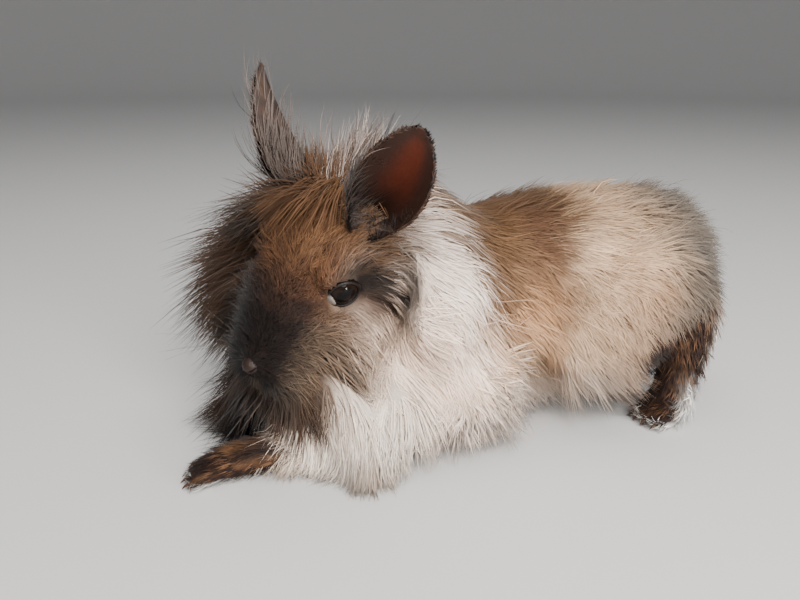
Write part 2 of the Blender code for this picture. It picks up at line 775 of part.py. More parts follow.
def bib_lie(normal, angle):
    """The hair of the bib falls, a little outward at its root, and is brushed out at the front right."""
    flat = unit(normal * (1, 1, 0))
    flare = np.clip(0.2 - 1.2 * flat[0], 0, 1) * max(-flat[1], 0)
    return flat * (0.6 + 0.3 * flare) + np.array([0, 0, -0.8]), flat * (0.15 + 0.45 * flare) + np.array([0, 0, -1])


def tail_lie(normal, angle):
    """The hair of the tail runs outward, backward and down."""
    return normal * 0.5 + np.array([0, 0.35, -0.8]), normal * 0.1 + np.array([0, 0.2, -1])


def mane_locks(grow=0.0):
    """All the locks of the mane, the same at each call."""
    draw = np.random.default_rng(SEED)
    made = []
    for row in CHEEK_LOCKS:
        made += row_of_locks(skull_form, row, mane_lie, draw, grow)
    for row in RUFF_LOCKS:
        made += row_of_locks(ruff_form, row, mane_lie, draw, grow)
    for row in CAPE_LOCKS:
        made += row_of_locks(cape_form, row, coat_lie, draw, grow)
    for row in BIB_LOCKS:
        made += row_of_locks(bib_form, row, bib_lie, draw, grow)
    for forward, left, length in CROWN_LOCKS:
        root = on_head((forward, left, 33))
        start = HEAD @ unit((-0.35 + draw.normal(0, 0.15), left / 30 + draw.normal(0, 0.15), 1))
        end = HEAD @ unit((-0.9, left / 12 + draw.normal(0, 0.2), 0.5))
        made.append(lock(root, HEAD @ unit((-0.8, 0, 0.6)), start, end, length, 10, grow))
    return made


def mane_core(grow=0.0):
    """The ruff, the cape and the bib joined, open in front of the face."""
    body = ruff_form.solid("mane_core", grow, look="cream")
    combine(body, "UNION", [cape_form.solid("cape", grow), bib_form.solid("bib_core", grow)])
    return combine(body, "DIFFERENCE", [face_room_form.solid("face_room", -grow)])


def mane():
    """The mane, parted by thin cuts into sectors round the head."""
    whole = mane_core()
    combine(whole, "UNION", mane_locks())
    combine(whole, "DIFFERENCE", flesh_room())
    half_gap = 0.5 * math.degrees(2 * GAP / 40)
    for name, (start, end) in MANE_SECTORS.items():
        body = bpy.data.objects.new(name, whole.data.copy())
        bpy.context.scene.collection.objects.link(body)
        sector = wedge("sector", start + half_gap, end - half_gap, on_head(MANE_MIDDLE), HEAD[:, 0])
        combine(body, "INTERSECT", [sector])
        keep_largest(body)
    remove([whole])


def thigh_locks(side, grow=0.0):
    """The locks of one haunch, the same at each call."""
    draw = np.random.default_rng(SEED + 1 + (side == "left"))
    made = []
    for row in THIGH_LOCKS:
        made += row_of_locks(thigh_form(side), row, coat_lie, draw, grow, mirror=side == "left")
    return made


def tail_locks(grow=0.0):
    draw = np.random.default_rng(SEED + 3)
    return [made for row in TAIL_LOCKS for made in row_of_locks(tail_form, row, tail_lie, draw, grow)]


def fuse_locks(body, locks, rooms):
    """Clears the locks of what stands round them, then joins them to their core."""
    combine(locks[0], "UNION", locks[1:])
    combine(locks[0], "DIFFERENCE", rooms)
    combine(body, "UNION", [locks[0]])
    return keep_largest(body)


def settle():
    """Moves all to stand on z = 0 with the origin under the middle of the whole."""
    objects = list(bpy.context.scene.objects)
    points = np.array([v.co[:] for obj in objects for v in obj.data.vertices])
    low, high = points.min(0), points.max(0)
    shift = Vector((-(low[0] + high[0]) / 2, -(low[1] + high[1]) / 2, -low[2]))
    for obj in objects:
        obj.data.transform(Matrix.Translation(shift))


def main():
    for obj in list(bpy.data.objects):
        bpy.data.objects.remove(obj)
    torso()
    neck()
    head()
    tail()
    for side in ("left", "right"):
        eye(side, look="eye")
        ear(side)
        foreleg(side)
        thigh(side)
        hind_foot(side)
    mane()
    settle()


main()
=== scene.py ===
"""The looks of the still, life-size lionhead rabbit: one skin under a coat of fine tufts, with ears, eyes,
nose, claws and whiskers of their own.

Shapes are worked out in millimetres in the design's axes, +Z up, the rabbit facing -Y and its left side +X,
and placed in the frame by the left eye's place there.
"""

import math

import bpy
import numpy as np
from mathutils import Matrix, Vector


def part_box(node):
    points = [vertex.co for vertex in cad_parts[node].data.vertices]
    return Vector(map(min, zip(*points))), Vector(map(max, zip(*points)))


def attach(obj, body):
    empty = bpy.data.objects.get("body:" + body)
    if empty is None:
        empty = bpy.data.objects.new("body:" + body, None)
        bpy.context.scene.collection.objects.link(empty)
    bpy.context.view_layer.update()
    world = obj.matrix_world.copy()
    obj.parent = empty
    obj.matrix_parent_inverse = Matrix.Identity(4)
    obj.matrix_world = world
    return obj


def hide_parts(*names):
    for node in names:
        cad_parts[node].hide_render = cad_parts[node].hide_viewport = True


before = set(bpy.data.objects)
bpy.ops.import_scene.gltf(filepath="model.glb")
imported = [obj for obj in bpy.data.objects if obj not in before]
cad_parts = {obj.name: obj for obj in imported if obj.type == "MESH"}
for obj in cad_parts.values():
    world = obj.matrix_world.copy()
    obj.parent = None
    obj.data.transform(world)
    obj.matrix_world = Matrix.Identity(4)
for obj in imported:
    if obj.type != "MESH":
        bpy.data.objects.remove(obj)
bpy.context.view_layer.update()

MM = 0.001
SEED = 41
# The sign of each side across the body.
SIDES = {"left": 1, "right": -1}
DOWN = np.array([0, 0, -1.0])
BACK = np.array([0, 1.0, 0])

# Each row of a form: centre x, y, z, then half width, height above the centre and depth below it.
TORSO = [
    (0, 137, 80, 8, 9, 9),
    (0, 130, 77, 24, 25, 28),
    (0, 114, 74, 38, 35, 37),
    (0, 90, 72, 47, 42, 42),
    (0, 58, 72, 50, 45, 44),
    (0, 25, 70, 48, 45, 43),
    (0, -5, 64, 44, 43, 42),
    (0, -27, 55, 40, 36, 35),
    (0, -45, 46, 34, 27, 27),
    (0, -60, 40, 26, 20, 21),
    (0, -70, 38, 12, 10, 11),
]
NECK = [
    (0, 4, 76, 24, 24, 24),
    (2, -14, 84, 29, 26, 28),
    (7, -36, 94, 27, 24, 28),
    (11, -56, 100, 22, 20, 22),
]
FORELEG = [
    (36, 2, 44, 13, 12, 12),
    (40, -16, 34, 17, 16, 17),
    (40, -42, 22, 14, 13, 14),
    (35, -73, 14, 10, 9, 10),
    (30, -99, 11, 9.5, 8, 10),
    (27, -118, 9, 11.5, 8, 10),
    (26, -133, 7, 11.5, 6.5, 8),
    (25, -139, 6, 8, 4.5, 7),
]
RIGHT_FORELEG_BACK = 30
THIGH = [
    (36, 30, 44, 10, 14, 12),
    (42, 42, 50, 16, 25, 22),
    (44, 63, 58, 19, 36, 29),
    (42, 86, 63, 19, 37, 29),
    (38, 104, 66, 16, 29, 22),
    (33, 118, 70, 10, 17, 12),
]
HIND_FOOT = [
    (42, 92, 78, 8, 8, 8),
    (47, 103, 69, 12, 12, 12),
    (50, 106, 57, 13, 13, 12),
    (50, 104, 43, 11.5, 11.5, 11),
    (50, 101, 29, 11.5, 11, 10),
    (51, 98, 15, 12.5, 11.5, 10),
    (51, 94, 7, 13, 11, 9),
    (51, 88, 4, 11, 7, 6),
]
TAIL = [
    (0, 126, 84, 7, 8, 8),
    (0, 136, 79, 10, 9, 9),
    (0, 143, 70, 11, 9, 8),
    (0, 145, 60, 11, 8, 8),
    (0, 143, 51, 7, 5, 6),
]

# The head's own axes, forward, left and up, start midway between the eyes.
HEAD_AT = (16, -79, 93)
HEAD_YAW, HEAD_PITCH, HEAD_ROLL = 26, 28, -13
SKULL = [
    (-46, 0, 8, 11, 10, 10),
    (-40, 0, 5, 20, 19, 20),
    (-28, 0, 0, 27, 27, 29),
    (-14, 0, -5, 29.5, 31, 30),
    (0, 0, -8, 27, 29.5, 28),
    (12, 0, -11, 24.5, 26, 26),
    (24, 0, -14, 21.5, 21.5, 22.5),
    (36, 0, -17, 18, 16.5, 18),
    (45, 0, -19, 14.5, 12, 14),
    (52, 0, -20, 9, 7.5, 9),
]
EYE_AT = (7, 16.8, 2)
EYE_RADIUS = 8.2
LID_OPENING = (7.3, 6.3)
LID_SLANT = -20
# The eggs that fill out the skull, as places and radii in the head's axes: the whisker pads, cheeks and
# brows on each side, the lids round each eye, and the chin and nose in the middle.
SIDE_EGGS = [
    ((44, 7.5, -19.5), (9.8, 7.0, 8.0)),
    ((8, 14.5, -17), (18, 10.6, 13)),
    ((5, 15.5, 10), (12, 7.5, 6.5)),
]
LID_EGG = (9.3, 8.8, 8.9)
MIDDLE_EGGS = [((39, 0, -31), (9, 7.4, 5.6)), ((52.2, 0, -14.8), (4.2, 5.2, 4.2))]
NOSE_AT = (53.0, 0, -14.6)
# Each foot's toes: where along it they begin, how far ahead and apart they are, their height and their radii.
TOES = {
    "foreleg": (0.955, -4.5, 5.35, 4.1, (3.1, 6.3, 3.7)),
    "hind_foot": (0.93, -5.5, 5.8, 4.2, (3.3, 6.8, 3.8)),
}

# The radius of an ear's cup where it leaves the head.
EAR_CUP = 9.0

# Each row of an ear: share of its length, radius of its curl, half angle of its wrap and bend backwards.
EAR_LENGTH = {"left": 57, "right": 62}
EAR_ROOT = {"left": (-22, 14, 22), "right": (-22, -13, 22)}
EAR_AIM = {"left": (-0.14, 0.54, 0.83), "right": (-0.25, -0.62, 0.74)}
EAR_MOUTH = {"left": (0.9, 0.42, -0.1), "right": (0.75, -0.5, -0.2)}
EAR_CURL = [
    (0.00, 8.0, 150, 0.0),
    (0.18, 10.0, 135, 0.3),
    (0.40, 13.5, 100, 1.0),
    (0.62, 15.5, 75, 1.2),
    (0.82, 15.0, 55, 0.6),
    (0.94, 11.0, 42, -0.6),
    (1.00, 6.0, 22, -1.2),
]
EAR_WALL = 1.9

# The body under the mane: a ruff round the face and the clearing that the face stands in, in the head's axes,
# then the cape over the shoulders and the bib from the throat to the floor.
RUFF = [
    (-56, 3, -4, 24, 20, 28),
    (-46, 3, -6, 40, 34, 44),
    (-30, 1, -8, 50, 38, 53),
    (-16, -4, -9, 51, 30, 54),
    (2, -13, -12, 47, 15, 50),
    (18, -25, -16, 33, 8, 36),
]
FACE_ROOM = [
    (-32, 4, -4, 18, 20, 16),
    (-18, 3, -5, 30, 29, 26),
    (-6, 7, -6, 37, 34, 28),
    (12, 9, -6, 45, 40, 33),
    (34, 10, -6, 64, 60, 42),
]
CAPE = [
    (2, 4, 76, 24, 22, 30),
    (3, -9, 77, 40, 34, 44),
    (6, -26, 79, 50, 38, 56),
    (10, -44, 80, 52, 37, 60),
    (14, -57, 80, 42, 28, 50),
]
BIB = [
    (10, -52, 76, 28, 28, 22),
    (8, -58, 62, 35, 37, 32),
    (8, -62, 44, 46, 48, 37),
    (12, -64, 26, 50, 45, 38),
    (16, -65, 12, 45, 34, 35),
    (18, -65, 4, 35, 23, 28),
]
MANE_MIDDLE = (-20, 0, -8)
# How far forward the long hair begins at each height on the head.
LONG_HAIR_EDGE = [(-34, 48), (-27, 41), (-18, 33), (-9, 22), (-4, 6), (3, -8), (14, -15), (30, -24)]

# How the hair runs round the face: radial and forward shares at the root, then radial, forward, down and
# backward shares at the tip, above, beside and under the head's middle.
MANE_LIE = {
    "top_left": (0.55, -0.8, 0.0, -0.8, 0.35, 0.3),
    "top_right": (0.75, 0.45, 0.25, 0.8, 0.3, 0.0),
    "left": (0.6, -0.6, 0.05, -0.1, 0.85, 0.45),
    "under_left": (0.6, 0.3, 0.1, 0.05, 0.95, 0.0),
    "under_right": (0.7, 0.8, 0.5, 0.7, 0.5, 0.0),
    "right": (0.85, 0.65, 0.6, 0.55, 0.4, 0.0),
}
# How the coat runs on the body: outward, backward and down shares at the root and at the tip, on top, at the
# sides and underneath.
COAT_LIE = {
    "top": (0.25, 0.97, 0.0, -0.05, 1.0, 0.12),
    "side": (0.3, 0.7, 0.5, -0.05, 0.55, 0.85),
    "under": (0.35, 0.6, 0.6, 0.0, 0.6, 0.75),
}

# Colours of the coat and the skin, as a picture shows them, from 0 to 255.
SHADES = {
    # gold, the face's ground colour, is painted darker than its own colour, as shade over the face.
    "gold": (107, 76, 52),
    "sepia": (46, 33, 28),
    "umber": (78, 54, 40),
    "russet": (76, 36, 24),
    "chestnut": (126, 92, 66),
    "oatmeal": (212, 178, 146),
    "blush": (246, 220, 201),
    "cream": (238, 226, 212),
    "lilac": (235, 217, 205),
    "olive": (86, 62, 40),
    "apricot": (196, 148, 108),
    "hazel": (108, 78, 54),
    "smoke": (120, 110, 104),
    # ash is darker than the rump's own grey: painted shade on the rump.
    "ash": (98, 90, 82),
    "white": (250, 246, 240),
    "ink": (18, 13, 12),
}


def shade(name):
    """A named colour as linear light."""
    return (np.array(SHADES[name]) / 255.0) ** 2.2


def plain_colour(name, count, strength=1.0):
    """One named colour, times a strength, for as many points."""
    return np.tile(shade(name) * strength, (count, 1))


def unit(v):
    """The directions, each with a length of 1."""
    v = np.asarray(v, float)
    return v / np.maximum(np.linalg.norm(v, axis=-1, keepdims=True), 1e-9)


def ramp(low, high, x):
    """0 at low, 1 at high and a smooth rise between, where low may be the greater one."""
    t = np.clip((np.asarray(x, float) - low) / (high - low), 0, 1)
    return t * t * (3 - 2 * t)


def blend(first, second, share):
    """The first directions x (1 - share) + the second x share."""
    return first * (1 - share[:, None]) + second * share[:, None]


def spot(points, centre, size):
    """1 at the centre of an egg and falling off as the bell curve of the distance in its radii."""
    return np.exp(-(((points - np.array(centre)) / np.array(size)) ** 2).sum(-1))


def ripple(points, length, seed):
    """Soft waves of about that length in all directions: the mean of four sines along random lines."""
    draw = np.random.default_rng(seed)
    lines = unit(draw.normal(size=(4, 3))) * 2 * math.pi / length
    return np.sin(points @ lines.T + draw.uniform(0, 2 * math.pi, 4)).mean(-1) * 1.6


def read_rows(rows, where):
    """The rows read at each share of the way along, on a smooth curve through them all."""
    rows = np.array(rows, float)
    ends = np.vstack([2 * rows[0] - rows[1], rows, 2 * rows[-1] - rows[-2]])
    t = np.clip(np.atleast_1d(where), 0, 1) * (len(rows) - 1)
    i = np.minimum(t.astype(int), len(rows) - 2)
    s = (t - i)[:, None]
    a, b, c, d = (ends[i + k] for k in range(4))
    bend = (2 * a - 5 * b + 4 * c - d) * s**2 + (3 * b - a - 3 * c + d) * s**3
    return 0.5 * (2 * b + (c - a) * s + bend)


def head_axes():
    """The head's forward, left and up directions, as the columns of a matrix."""
    yaw, pitch, roll = np.radians([HEAD_YAW, HEAD_PITCH, HEAD_ROLL])
    forward = np.array([math.sin(yaw) * math.cos(pitch), -math.cos(yaw) * math.cos(pitch), -math.sin(pitch)])
    level = np.array([math.cos(yaw), math.sin(yaw), 0])
    left = level * math.cos(roll) + np.cross(forward, level) * math.sin(roll)
    return np.stack([forward, left, np.cross(forward, left)], 1)


HEAD = head_axes()
FORWARD, LEFT, UPWARD = HEAD.T


def on_head(point):
    """A place given in the head's own axes, in the design's axes."""
    return np.asarray(point, float) @ HEAD.T + np.array(HEAD_AT, float)


def in_head(points):
    """Places given in the design's axes, in the head's own."""
    return (points - np.array(HEAD_AT, float)) @ HEAD


# The frame's place of the design's origin, from the box round the left eye.
eye_box = np.array([list(corner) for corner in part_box("eye_left")])
SHIFT = eye_box.mean(0) - on_head(EYE_AT) * MM


class Form:
    """A smooth closed body of oval sections along a path. An angle of 0 is on top and 90 on the left."""

    def __init__(self, rows, upright=(0, 0, 1), head=False, mirror=False):
        rows = np.array(rows, float)
        if head:
            rows[:, :3] = on_head(rows[:, :3])
            upright = UPWARD
        if mirror:
            rows[:, 0] *= -1
        self.rows = rows
        self.upright = unit(upright)

    def frames(self, where):
        """Centres, left, up and forward directions and sizes at these shares of the path."""
        found = read_rows(self.rows, where)
        step = 1e-3
        ahead = read_rows(self.rows, np.clip(np.atleast_1d(where) + step, 0, 1))
        behind = read_rows(self.rows, np.clip(np.atleast_1d(where) - step, 0, 1))
        along = unit(ahead[:, :3] - behind[:, :3])
        left = unit(np.cross(self.upright, along))
        return found[:, :3], left, np.cross(along, left), along, np.maximum(found[:, 3:], 0.5)

    def surface(self, where, angle, grow=0.0):
        """Centre + left x half width x sine of the angle + up x height x cosine of the angle."""
        centre, left, up, _, size = self.frames(where)
        size = np.maximum(size + grow, 0.5)
        a = np.radians(angle)
        high = np.where(np.cos(a) > 0, size[:, 1], size[:, 2]) * np.cos(a)
        return centre + (size[:, 0] * np.sin(a))[:, None] * left + high[:, None] * up

    def locate(self, points):
        """Each point's share, angle and distance outside of the surface, from the section whose plane and rim
        are nearest to it."""
        share = np.linspace(0, 1, 33)
        centre, left, up, along, size = self.frames(share)
        where, angle, far = (np.empty(len(points)) for _ in range(3))
        for first in range(0, len(points), 20000):
            part = slice(first, first + 20000)
            rel = points[part, None] - centre
            ahead = (rel * along).sum(-1)
            x = (rel * left).sum(-1)
            z = (rel * up).sum(-1)
            tall = np.where(z > 0, size[:, 1], size[:, 2])
            radius = np.hypot(x / size[:, 0], z / tall)
            excess = (radius - 1) * (size[:, 0] + tall) / 2
            gap = np.hypot(ahead, np.maximum(excess, 0))
            best = gap.argmin(1)
            pick = (np.arange(len(best)), best)
            where[part] = share[best]
            angle[part] = np.degrees(np.arctan2(x[pick], z[pick]))
            inside = (excess[pick] < 0) & (np.abs(ahead[pick]) < 6)
            far[part] = np.where(inside, excess[pick], gap[pick])
        return where, angle, far


def foreleg_form(side):
    """A foreleg. The right one is set back, more and more towards its paw."""
    rows = np.array(FORELEG, float)
    if side == "right":
        rows[2:, 1] += RIGHT_FORELEG_BACK * np.linspace(0.5, 1, len(rows) - 2)
    return Form(rows, mirror=side == "right")


FORMS = {
    "torso": Form(TORSO),
    "neck": Form(NECK),
    "skull": Form(SKULL, head=True),
    "tail": Form(TAIL, upright=(0, 1, 0.3)),
    "ruff": Form(RUFF, head=True),
    "cape": Form(CAPE),
    "bib": Form(BIB, upright=(0, -1, 0.1)),
    "foreleg_left": foreleg_form("left"),
    "foreleg_right": foreleg_form("right"),
    "thigh_left": Form(THIGH),
    "thigh_right": Form(THIGH, mirror=True),
    "hind_foot_left": Form(HIND_FOOT, upright=(0, -1, 0)),
    "hind_foot_right": Form(HIND_FOOT, upright=(0, -1, 0), mirror=True),
}
# How far the skin lies inside each form.
SKIN_DEPTH = {"torso": 3.0, "ruff": 4.0, "cape": 4.0, "bib": 4.0, "thigh": 2.5, "skull": 1.2, "neck": 2.0}
OTHER_DEPTH = 1.6
MANE_FORMS = ("ruff", "cape", "bib")
# The cubes of the two remeshes and the lowest height of the skin.
MANE_VOXEL, SKIN_VOXEL = 2.5, 1.7
SOLE_HEIGHT = 0.4


def skin_depth(name):
    """How far the skin lies inside a form."""
    return SKIN_DEPTH.get(name.split("_")[0], OTHER_DEPTH)


# Meshes from arrays


def make_object(name, points, faces, colour=None, patches=None, material=None):
    """An object of smooth triangles at the origin, with its place in its mesh and its points in
    millimetres."""
    mesh = bpy.data.meshes.new(name)
    mesh.vertices.add(len(points))
    mesh.vertices.foreach_set("co", (np.asarray(points) * MM + SHIFT).astype(np.float32).ravel())
    mesh.loops.add(3 * len(faces))
    mesh.loops.foreach_set("vertex_index", np.asarray(faces, np.int32).ravel())
    mesh.polygons.add(len(faces))
    mesh.polygons.foreach_set("loop_start", np.arange(0, 3 * len(faces), 3, dtype=np.int32))
    mesh.polygons.foreach_set("use_smooth", np.full(len(faces), True))
    mesh.update(calc_edges=True)
    if colour is not None:
        set_colour(mesh, colour)
    if patches is not None:
        layer = mesh.uv_layers.new(name="OFBake")
        layer.data.foreach_set("uv", patches[np.asarray(faces).ravel()].astype(np.float32).ravel())
    if material is not None:
        mesh.materials.append(material)
    obj = bpy.data.objects.new(name, mesh)
    bpy.context.scene.collection.objects.link(obj)
    return obj


def set_colour(mesh, colour):
    """Stores a colour for each point of the mesh under the name coat."""
    layer = mesh.attributes.new("coat", "FLOAT_COLOR", "POINT")
    full = np.ones((len(mesh.vertices), 4), np.float32)
    full[:, :3] = colour
    layer.data.foreach_set("color", full.ravel())


def grid_faces(rows, columns, wrap=False):
    """Two triangles for each cell of a grid of points, closed round its columns where wrap is set."""
    number = np.arange(rows * columns).reshape(rows, columns)
    if wrap:
        number = np.hstack([number, number[:, :1]])
    a, b, c, d = number[:-1, :-1], number[:-1, 1:], number[1:, 1:], number[1:, :-1]
    return np.concatenate([np.stack([a, b, c], -1).reshape(-1, 3), np.stack([a, c, d], -1).reshape(-1, 3)])


def outward(points, faces):
    """The faces, turned so that the closed surface has a volume above nothing."""
    corner = points[faces] - points.mean(0)
    volume = (corner[:, 0] * np.cross(corner[:, 1], corner[:, 2])).sum()
    return faces if volume > 0 else faces[:, ::-1]


def closed_tube(rings):
    """Points and faces of rings of points joined in order, with a point that closes each end."""
    count, around = rings.shape[:2]
    points = np.vstack([rings.reshape(-1, 3), rings[0].mean(0), rings[-1].mean(0)])
    faces = grid_faces(count, around, wrap=True)
    k = np.arange(around)
    low, high = count * around, count * around + 1
    last = (count - 1) * around
    start = np.stack([np.full(around, low), (k + 1) % around, k], 1)
    end = np.stack([np.full(around, high), last + k, last + (k + 1) % around], 1)
    faces = np.concatenate([faces, start, end])
    return points, outward(points, faces)


def loft(form, inset=0.0, along=44, around=48):
    """The form's surface at even shares and angles, drawn in by inset, with rings closer at its ends."""
    even = np.linspace(0, 1, along)
    where = 0.5 * even + 0.5 * (0.5 - 0.5 * np.cos(np.pi * even))
    angles = np.arange(around) * 360 / around
    rings = np.array([form.surface(np.full(around, w), angles, -inset) for w in where])
    return closed_tube(rings)


def egg(centre, radii, axes=None, rows=20, around=28):
    """Centre + each radius along its axis x the sine and cosine of two angles, as a ball has them."""
    turn = np.eye(3) if axes is None else np.asarray(axes)
    high = np.linspace(0.001, np.pi - 0.001, rows)[:, None]
    a = np.arange(around) * 2 * np.pi / around
    ball = np.stack([np.cos(high) + 0 * a, np.sin(high) * np.cos(a), np.sin(high) * np.sin(a)], -1)
    return closed_tube((ball * np.array(radii)) @ turn.T + np.array(centre))


def joined(pieces):
    """Several (points, faces) as one."""
    points, faces, start = [], [], 0
    for some, cells in pieces:
        points.append(some)
        faces.append(np.asarray(cells) + start)
        start += len(some)
    return np.vstack(points), np.vstack(faces)


def mesh_arrays(mesh):
    """Points in millimetres, triangles and normals of a mesh in the frame."""
    mesh.calc_loop_triangles()
    points = np.empty(len(mesh.vertices) * 3, np.float32)
    mesh.vertices.foreach_get("co", points)
    faces = np.empty(len(mesh.loop_triangles) * 3, np.int32)
    mesh.loop_triangles.foreach_get("vertices", faces)
    normals = np.empty(len(mesh.vertices) * 3, np.float32)
    mesh.vertices.foreach_get("normal", normals)
    points = (points.reshape(-1, 3).astype(float) - SHIFT) / MM
    return points, faces.reshape(-1, 3), normals.reshape(-1, 3).astype(float)


def apply_modifiers(obj):
    """Puts the result of the object's modifiers into its mesh."""
    bpy.context.view_layer.update()
    graph = bpy.context.evaluated_depsgraph_get()
    made = bpy.data.meshes.new_from_object(obj.evaluated_get(graph))
    obj.modifiers.clear()
    old = obj.data
    obj.data = made
    bpy.data.meshes.remove(old)


def discard(obj):
    """Removes a helper and its mesh."""
    mesh = obj.data
    bpy.data.objects.remove(obj)
    bpy.data.meshes.remove(mesh)


# Skin


def eye_place(side):
    """The middle of an eye in the design's axes."""
    return on_head(np.array(EYE_AT) * (1, SIDES[side], 1))


def lid_axes(side):
    """The slanted axes of an eye's opening: along it, out of the head and across it."""
    turn = math.radians(LID_SLANT)
    out = unit([0.5, SIDES[side], 0.0])
    along = np.array([math.cos(turn), 0, -math.sin(turn)])
    along = unit(along - out * (along @ out))
    return HEAD @ np.stack([along, out, np.cross(along, out) * SIDES[side]], 1)


def all_toes():
    """For each foot the middles of four toes side by side, the middle two further ahead, and their radii."""
    k = np.array([-1.5, -0.5, 0.5, 1.5])[:, None]
    for side in SIDES:
        for name, (where, ahead, spacing, height, radii) in TOES.items():
            centre, left, _, _, _ = FORMS[f"{name}_{side}"].frames(where)
            places = centre[0] + left[0] * k * spacing + BACK * ahead * (1 - 0.3 * np.abs(k))
            places[:, 2] = height
            yield places, radii


def face_eggs():
    """The eggs of the face, in the design's axes."""
    made = []
    for side, sign in SIDES.items():
        made += [egg(on_head(np.array(place) * (1, sign, 1)), radii, HEAD) for place, radii in SIDE_EGGS]
        made.append(egg(eye_place(side), LID_EGG, lid_axes(side)))
    return made + [egg(on_head(place), radii, HEAD) for place, radii in MIDDLE_EGGS]


def soften(obj, rounds):
    """Adds a modifier that moves each point half way to the mean of its neighbours, some rounds over."""
    smooth = obj.modifiers.new("smooth", "SMOOTH")
    smooth.factor = 0.5
    smooth.iterations = rounds


def remesh(obj, voxel):
    """Adds a modifier that makes all closed parts of the mesh one, from cubes of this size."""
    cubes = obj.modifiers.new("remesh", "REMESH")
    cubes.mode = "VOXEL"
    cubes.voxel_size = voxel * MM


def mane_body():
    """The ruff, cape and bib as one closed body, open in front of the face."""
    body = make_object("mane_body", *joined([loft(FORMS[name], SKIN_DEPTH[name]) for name in MANE_FORMS]))
    remesh(body, MANE_VOXEL)
    apply_modifiers(body)
    room = make_object("face_room", *loft(Form(FACE_ROOM, head=True), -2.0))
    cut = body.modifiers.new("cut", "BOOLEAN")
    cut.operation = "DIFFERENCE"
    cut.solver = "MANIFOLD"
    cut.object = room
    soften(body, 12)
    apply_modifiers(body)
    discard(room)
    points, faces, _ = mesh_arrays(body.data)
    discard(body)
    return points, faces


def make_skin():
    """All the flesh as one smooth skin without seams: the lofts and eggs joined, remeshed and smoothed."""
    pieces = [mane_body()]
    pieces += [loft(form, skin_depth(name)) for name, form in FORMS.items() if name not in MANE_FORMS]
    pieces += face_eggs()
    for places, radii in all_toes():
        pieces += [egg(place, radii, rows=12, around=16) for place in places]
    skin = make_object("skin", *joined(pieces))
    remesh(skin, SKIN_VOXEL)
    soften(skin, 5)
    apply_modifiers(skin)
    points, faces, normals = mesh_arrays(skin.data)
    discard(skin)
    for side in SIDES:
        points = open_lids(points, side)
    points[:, 2] = np.maximum(points[:, 2], SOLE_HEIGHT)
    return points, faces, normals


def open_lids(points, side):
    """Draws the skin in behind the eyeball inside an oval opening."""
    axes = lid_axes(side)
    local = (points - eye_place(side)) @ axes
    inside = (local[:, 0] / (LID_OPENING[0] + 0.6)) ** 2 + (local[:, 2] / (LID_OPENING[1] + 0.6)) ** 2
    sunk = (inside < 1) & (local[:, 1] > 0)
    local[sunk, 1] *= 0.45
    return np.where(sunk[:, None], local @ axes.T + eye_place(side), points)


# Regions of the coat


REGIONS = list(FORMS)
LEGS = ("foreleg_left", "foreleg_right", "hind_foot_left", "hind_foot_right")


def weigh_regions(points):
    """How far each point belongs to each form, from its distances to them, and its place on an unwrap of
    the forms: each has a tile of its own, with the share of its length one way and the angle round it
    the other."""
    far, patch = [], []
    columns = 4
    for k, name in enumerate(REGIONS):
        where, angle, gap = FORMS[name].locate(points)
        far.append(np.abs(gap + skin_depth(name)))
        tile = np.array([k % columns, k // columns]) / columns
        patch.append(tile + np.stack([0.04 + 0.92 * where, 0.04 + 0.92 * (angle + 180) / 360], 1) / columns)
    far = np.array(far)
    nearest = far.argmin(0)
    weight = np.exp(-far / 4.0)
    weight /= weight.sum(0)
    return weight.T, np.array(patch)[nearest, np.arange(len(points))], nearest


def share_of(weight, *names):
    """How far each point belongs to these regions together."""
    return weight[:, [REGIONS.index(name) for name in names]].sum(1)


def long_face(points):
    """0 on the short-haired face and 1 where the head carries the mane: behind the eyes, under them as far
    forward as the whisker pads, and under the chin."""
    f, _, u = in_head(points).T
    edge = np.interp(u, *zip(*LONG_HAIR_EDGE))
    return ramp(6, -7, f - edge)


def mane_lie(points):
    """The way that the mane runs at each point's angle round the head, at the root and at the tip."""
    local = in_head(points) - np.array(MANE_MIDDLE)
    angle = np.arctan2(local[:, 1], local[:, 2])
    around, level = np.sin(angle), np.cos(angle)
    left = ramp(-0.35, 0.35, around)[:, None]
    top = ramp(-0.25, 0.25, level)[:, None]
    lie = {name: np.array(row) for name, row in MANE_LIE.items()}
    side = lie["left"] * left + lie["right"] * (1 - left)
    under = lie["under_left"] * left + lie["under_right"] * (1 - left)
    above = lie["top_left"] * left + lie["top_right"] * (1 - left)
    height = above * top + under * (1 - top)
    shares = side * (around**2)[:, None] + height * (level**2)[:, None]
    radial = np.stack([0 * around, around, level], 1) @ HEAD.T
    start = radial * shares[:, :1] + FORWARD * shares[:, 1:2]
    end = radial * shares[:, 2:3] + FORWARD * shares[:, 3:4] + DOWN * shares[:, 4:5] + BACK * shares[:, 5:6]
    return unit(start), unit(end)


def coat_lie(normals):
    """The way that the body's coat runs, from how far its surface faces up, sideways or down."""
    up = normals[:, 2:3]
    top = ramp(-0.2, 0.2, up)
    other = np.array(COAT_LIE["top"]) * top + np.array(COAT_LIE["under"]) * (1 - top)
    shares = np.array(COAT_LIE["side"]) * (1 - up**2) + other * up**2
    start = normals * shares[:, :1] + BACK * shares[:, 1:2] + DOWN * shares[:, 2:3]
    return unit(start), unit(normals * shares[:, 3:4] + BACK * shares[:, 4:5] + DOWN * shares[:, 5:6])


def along_surface(direction, normals, lift):
    """A direction laid along the surface and lifted from it by a share."""
    flat = direction - normals * (direction * normals).sum(-1, keepdims=True)
    return unit(unit(flat) + normals * lift)


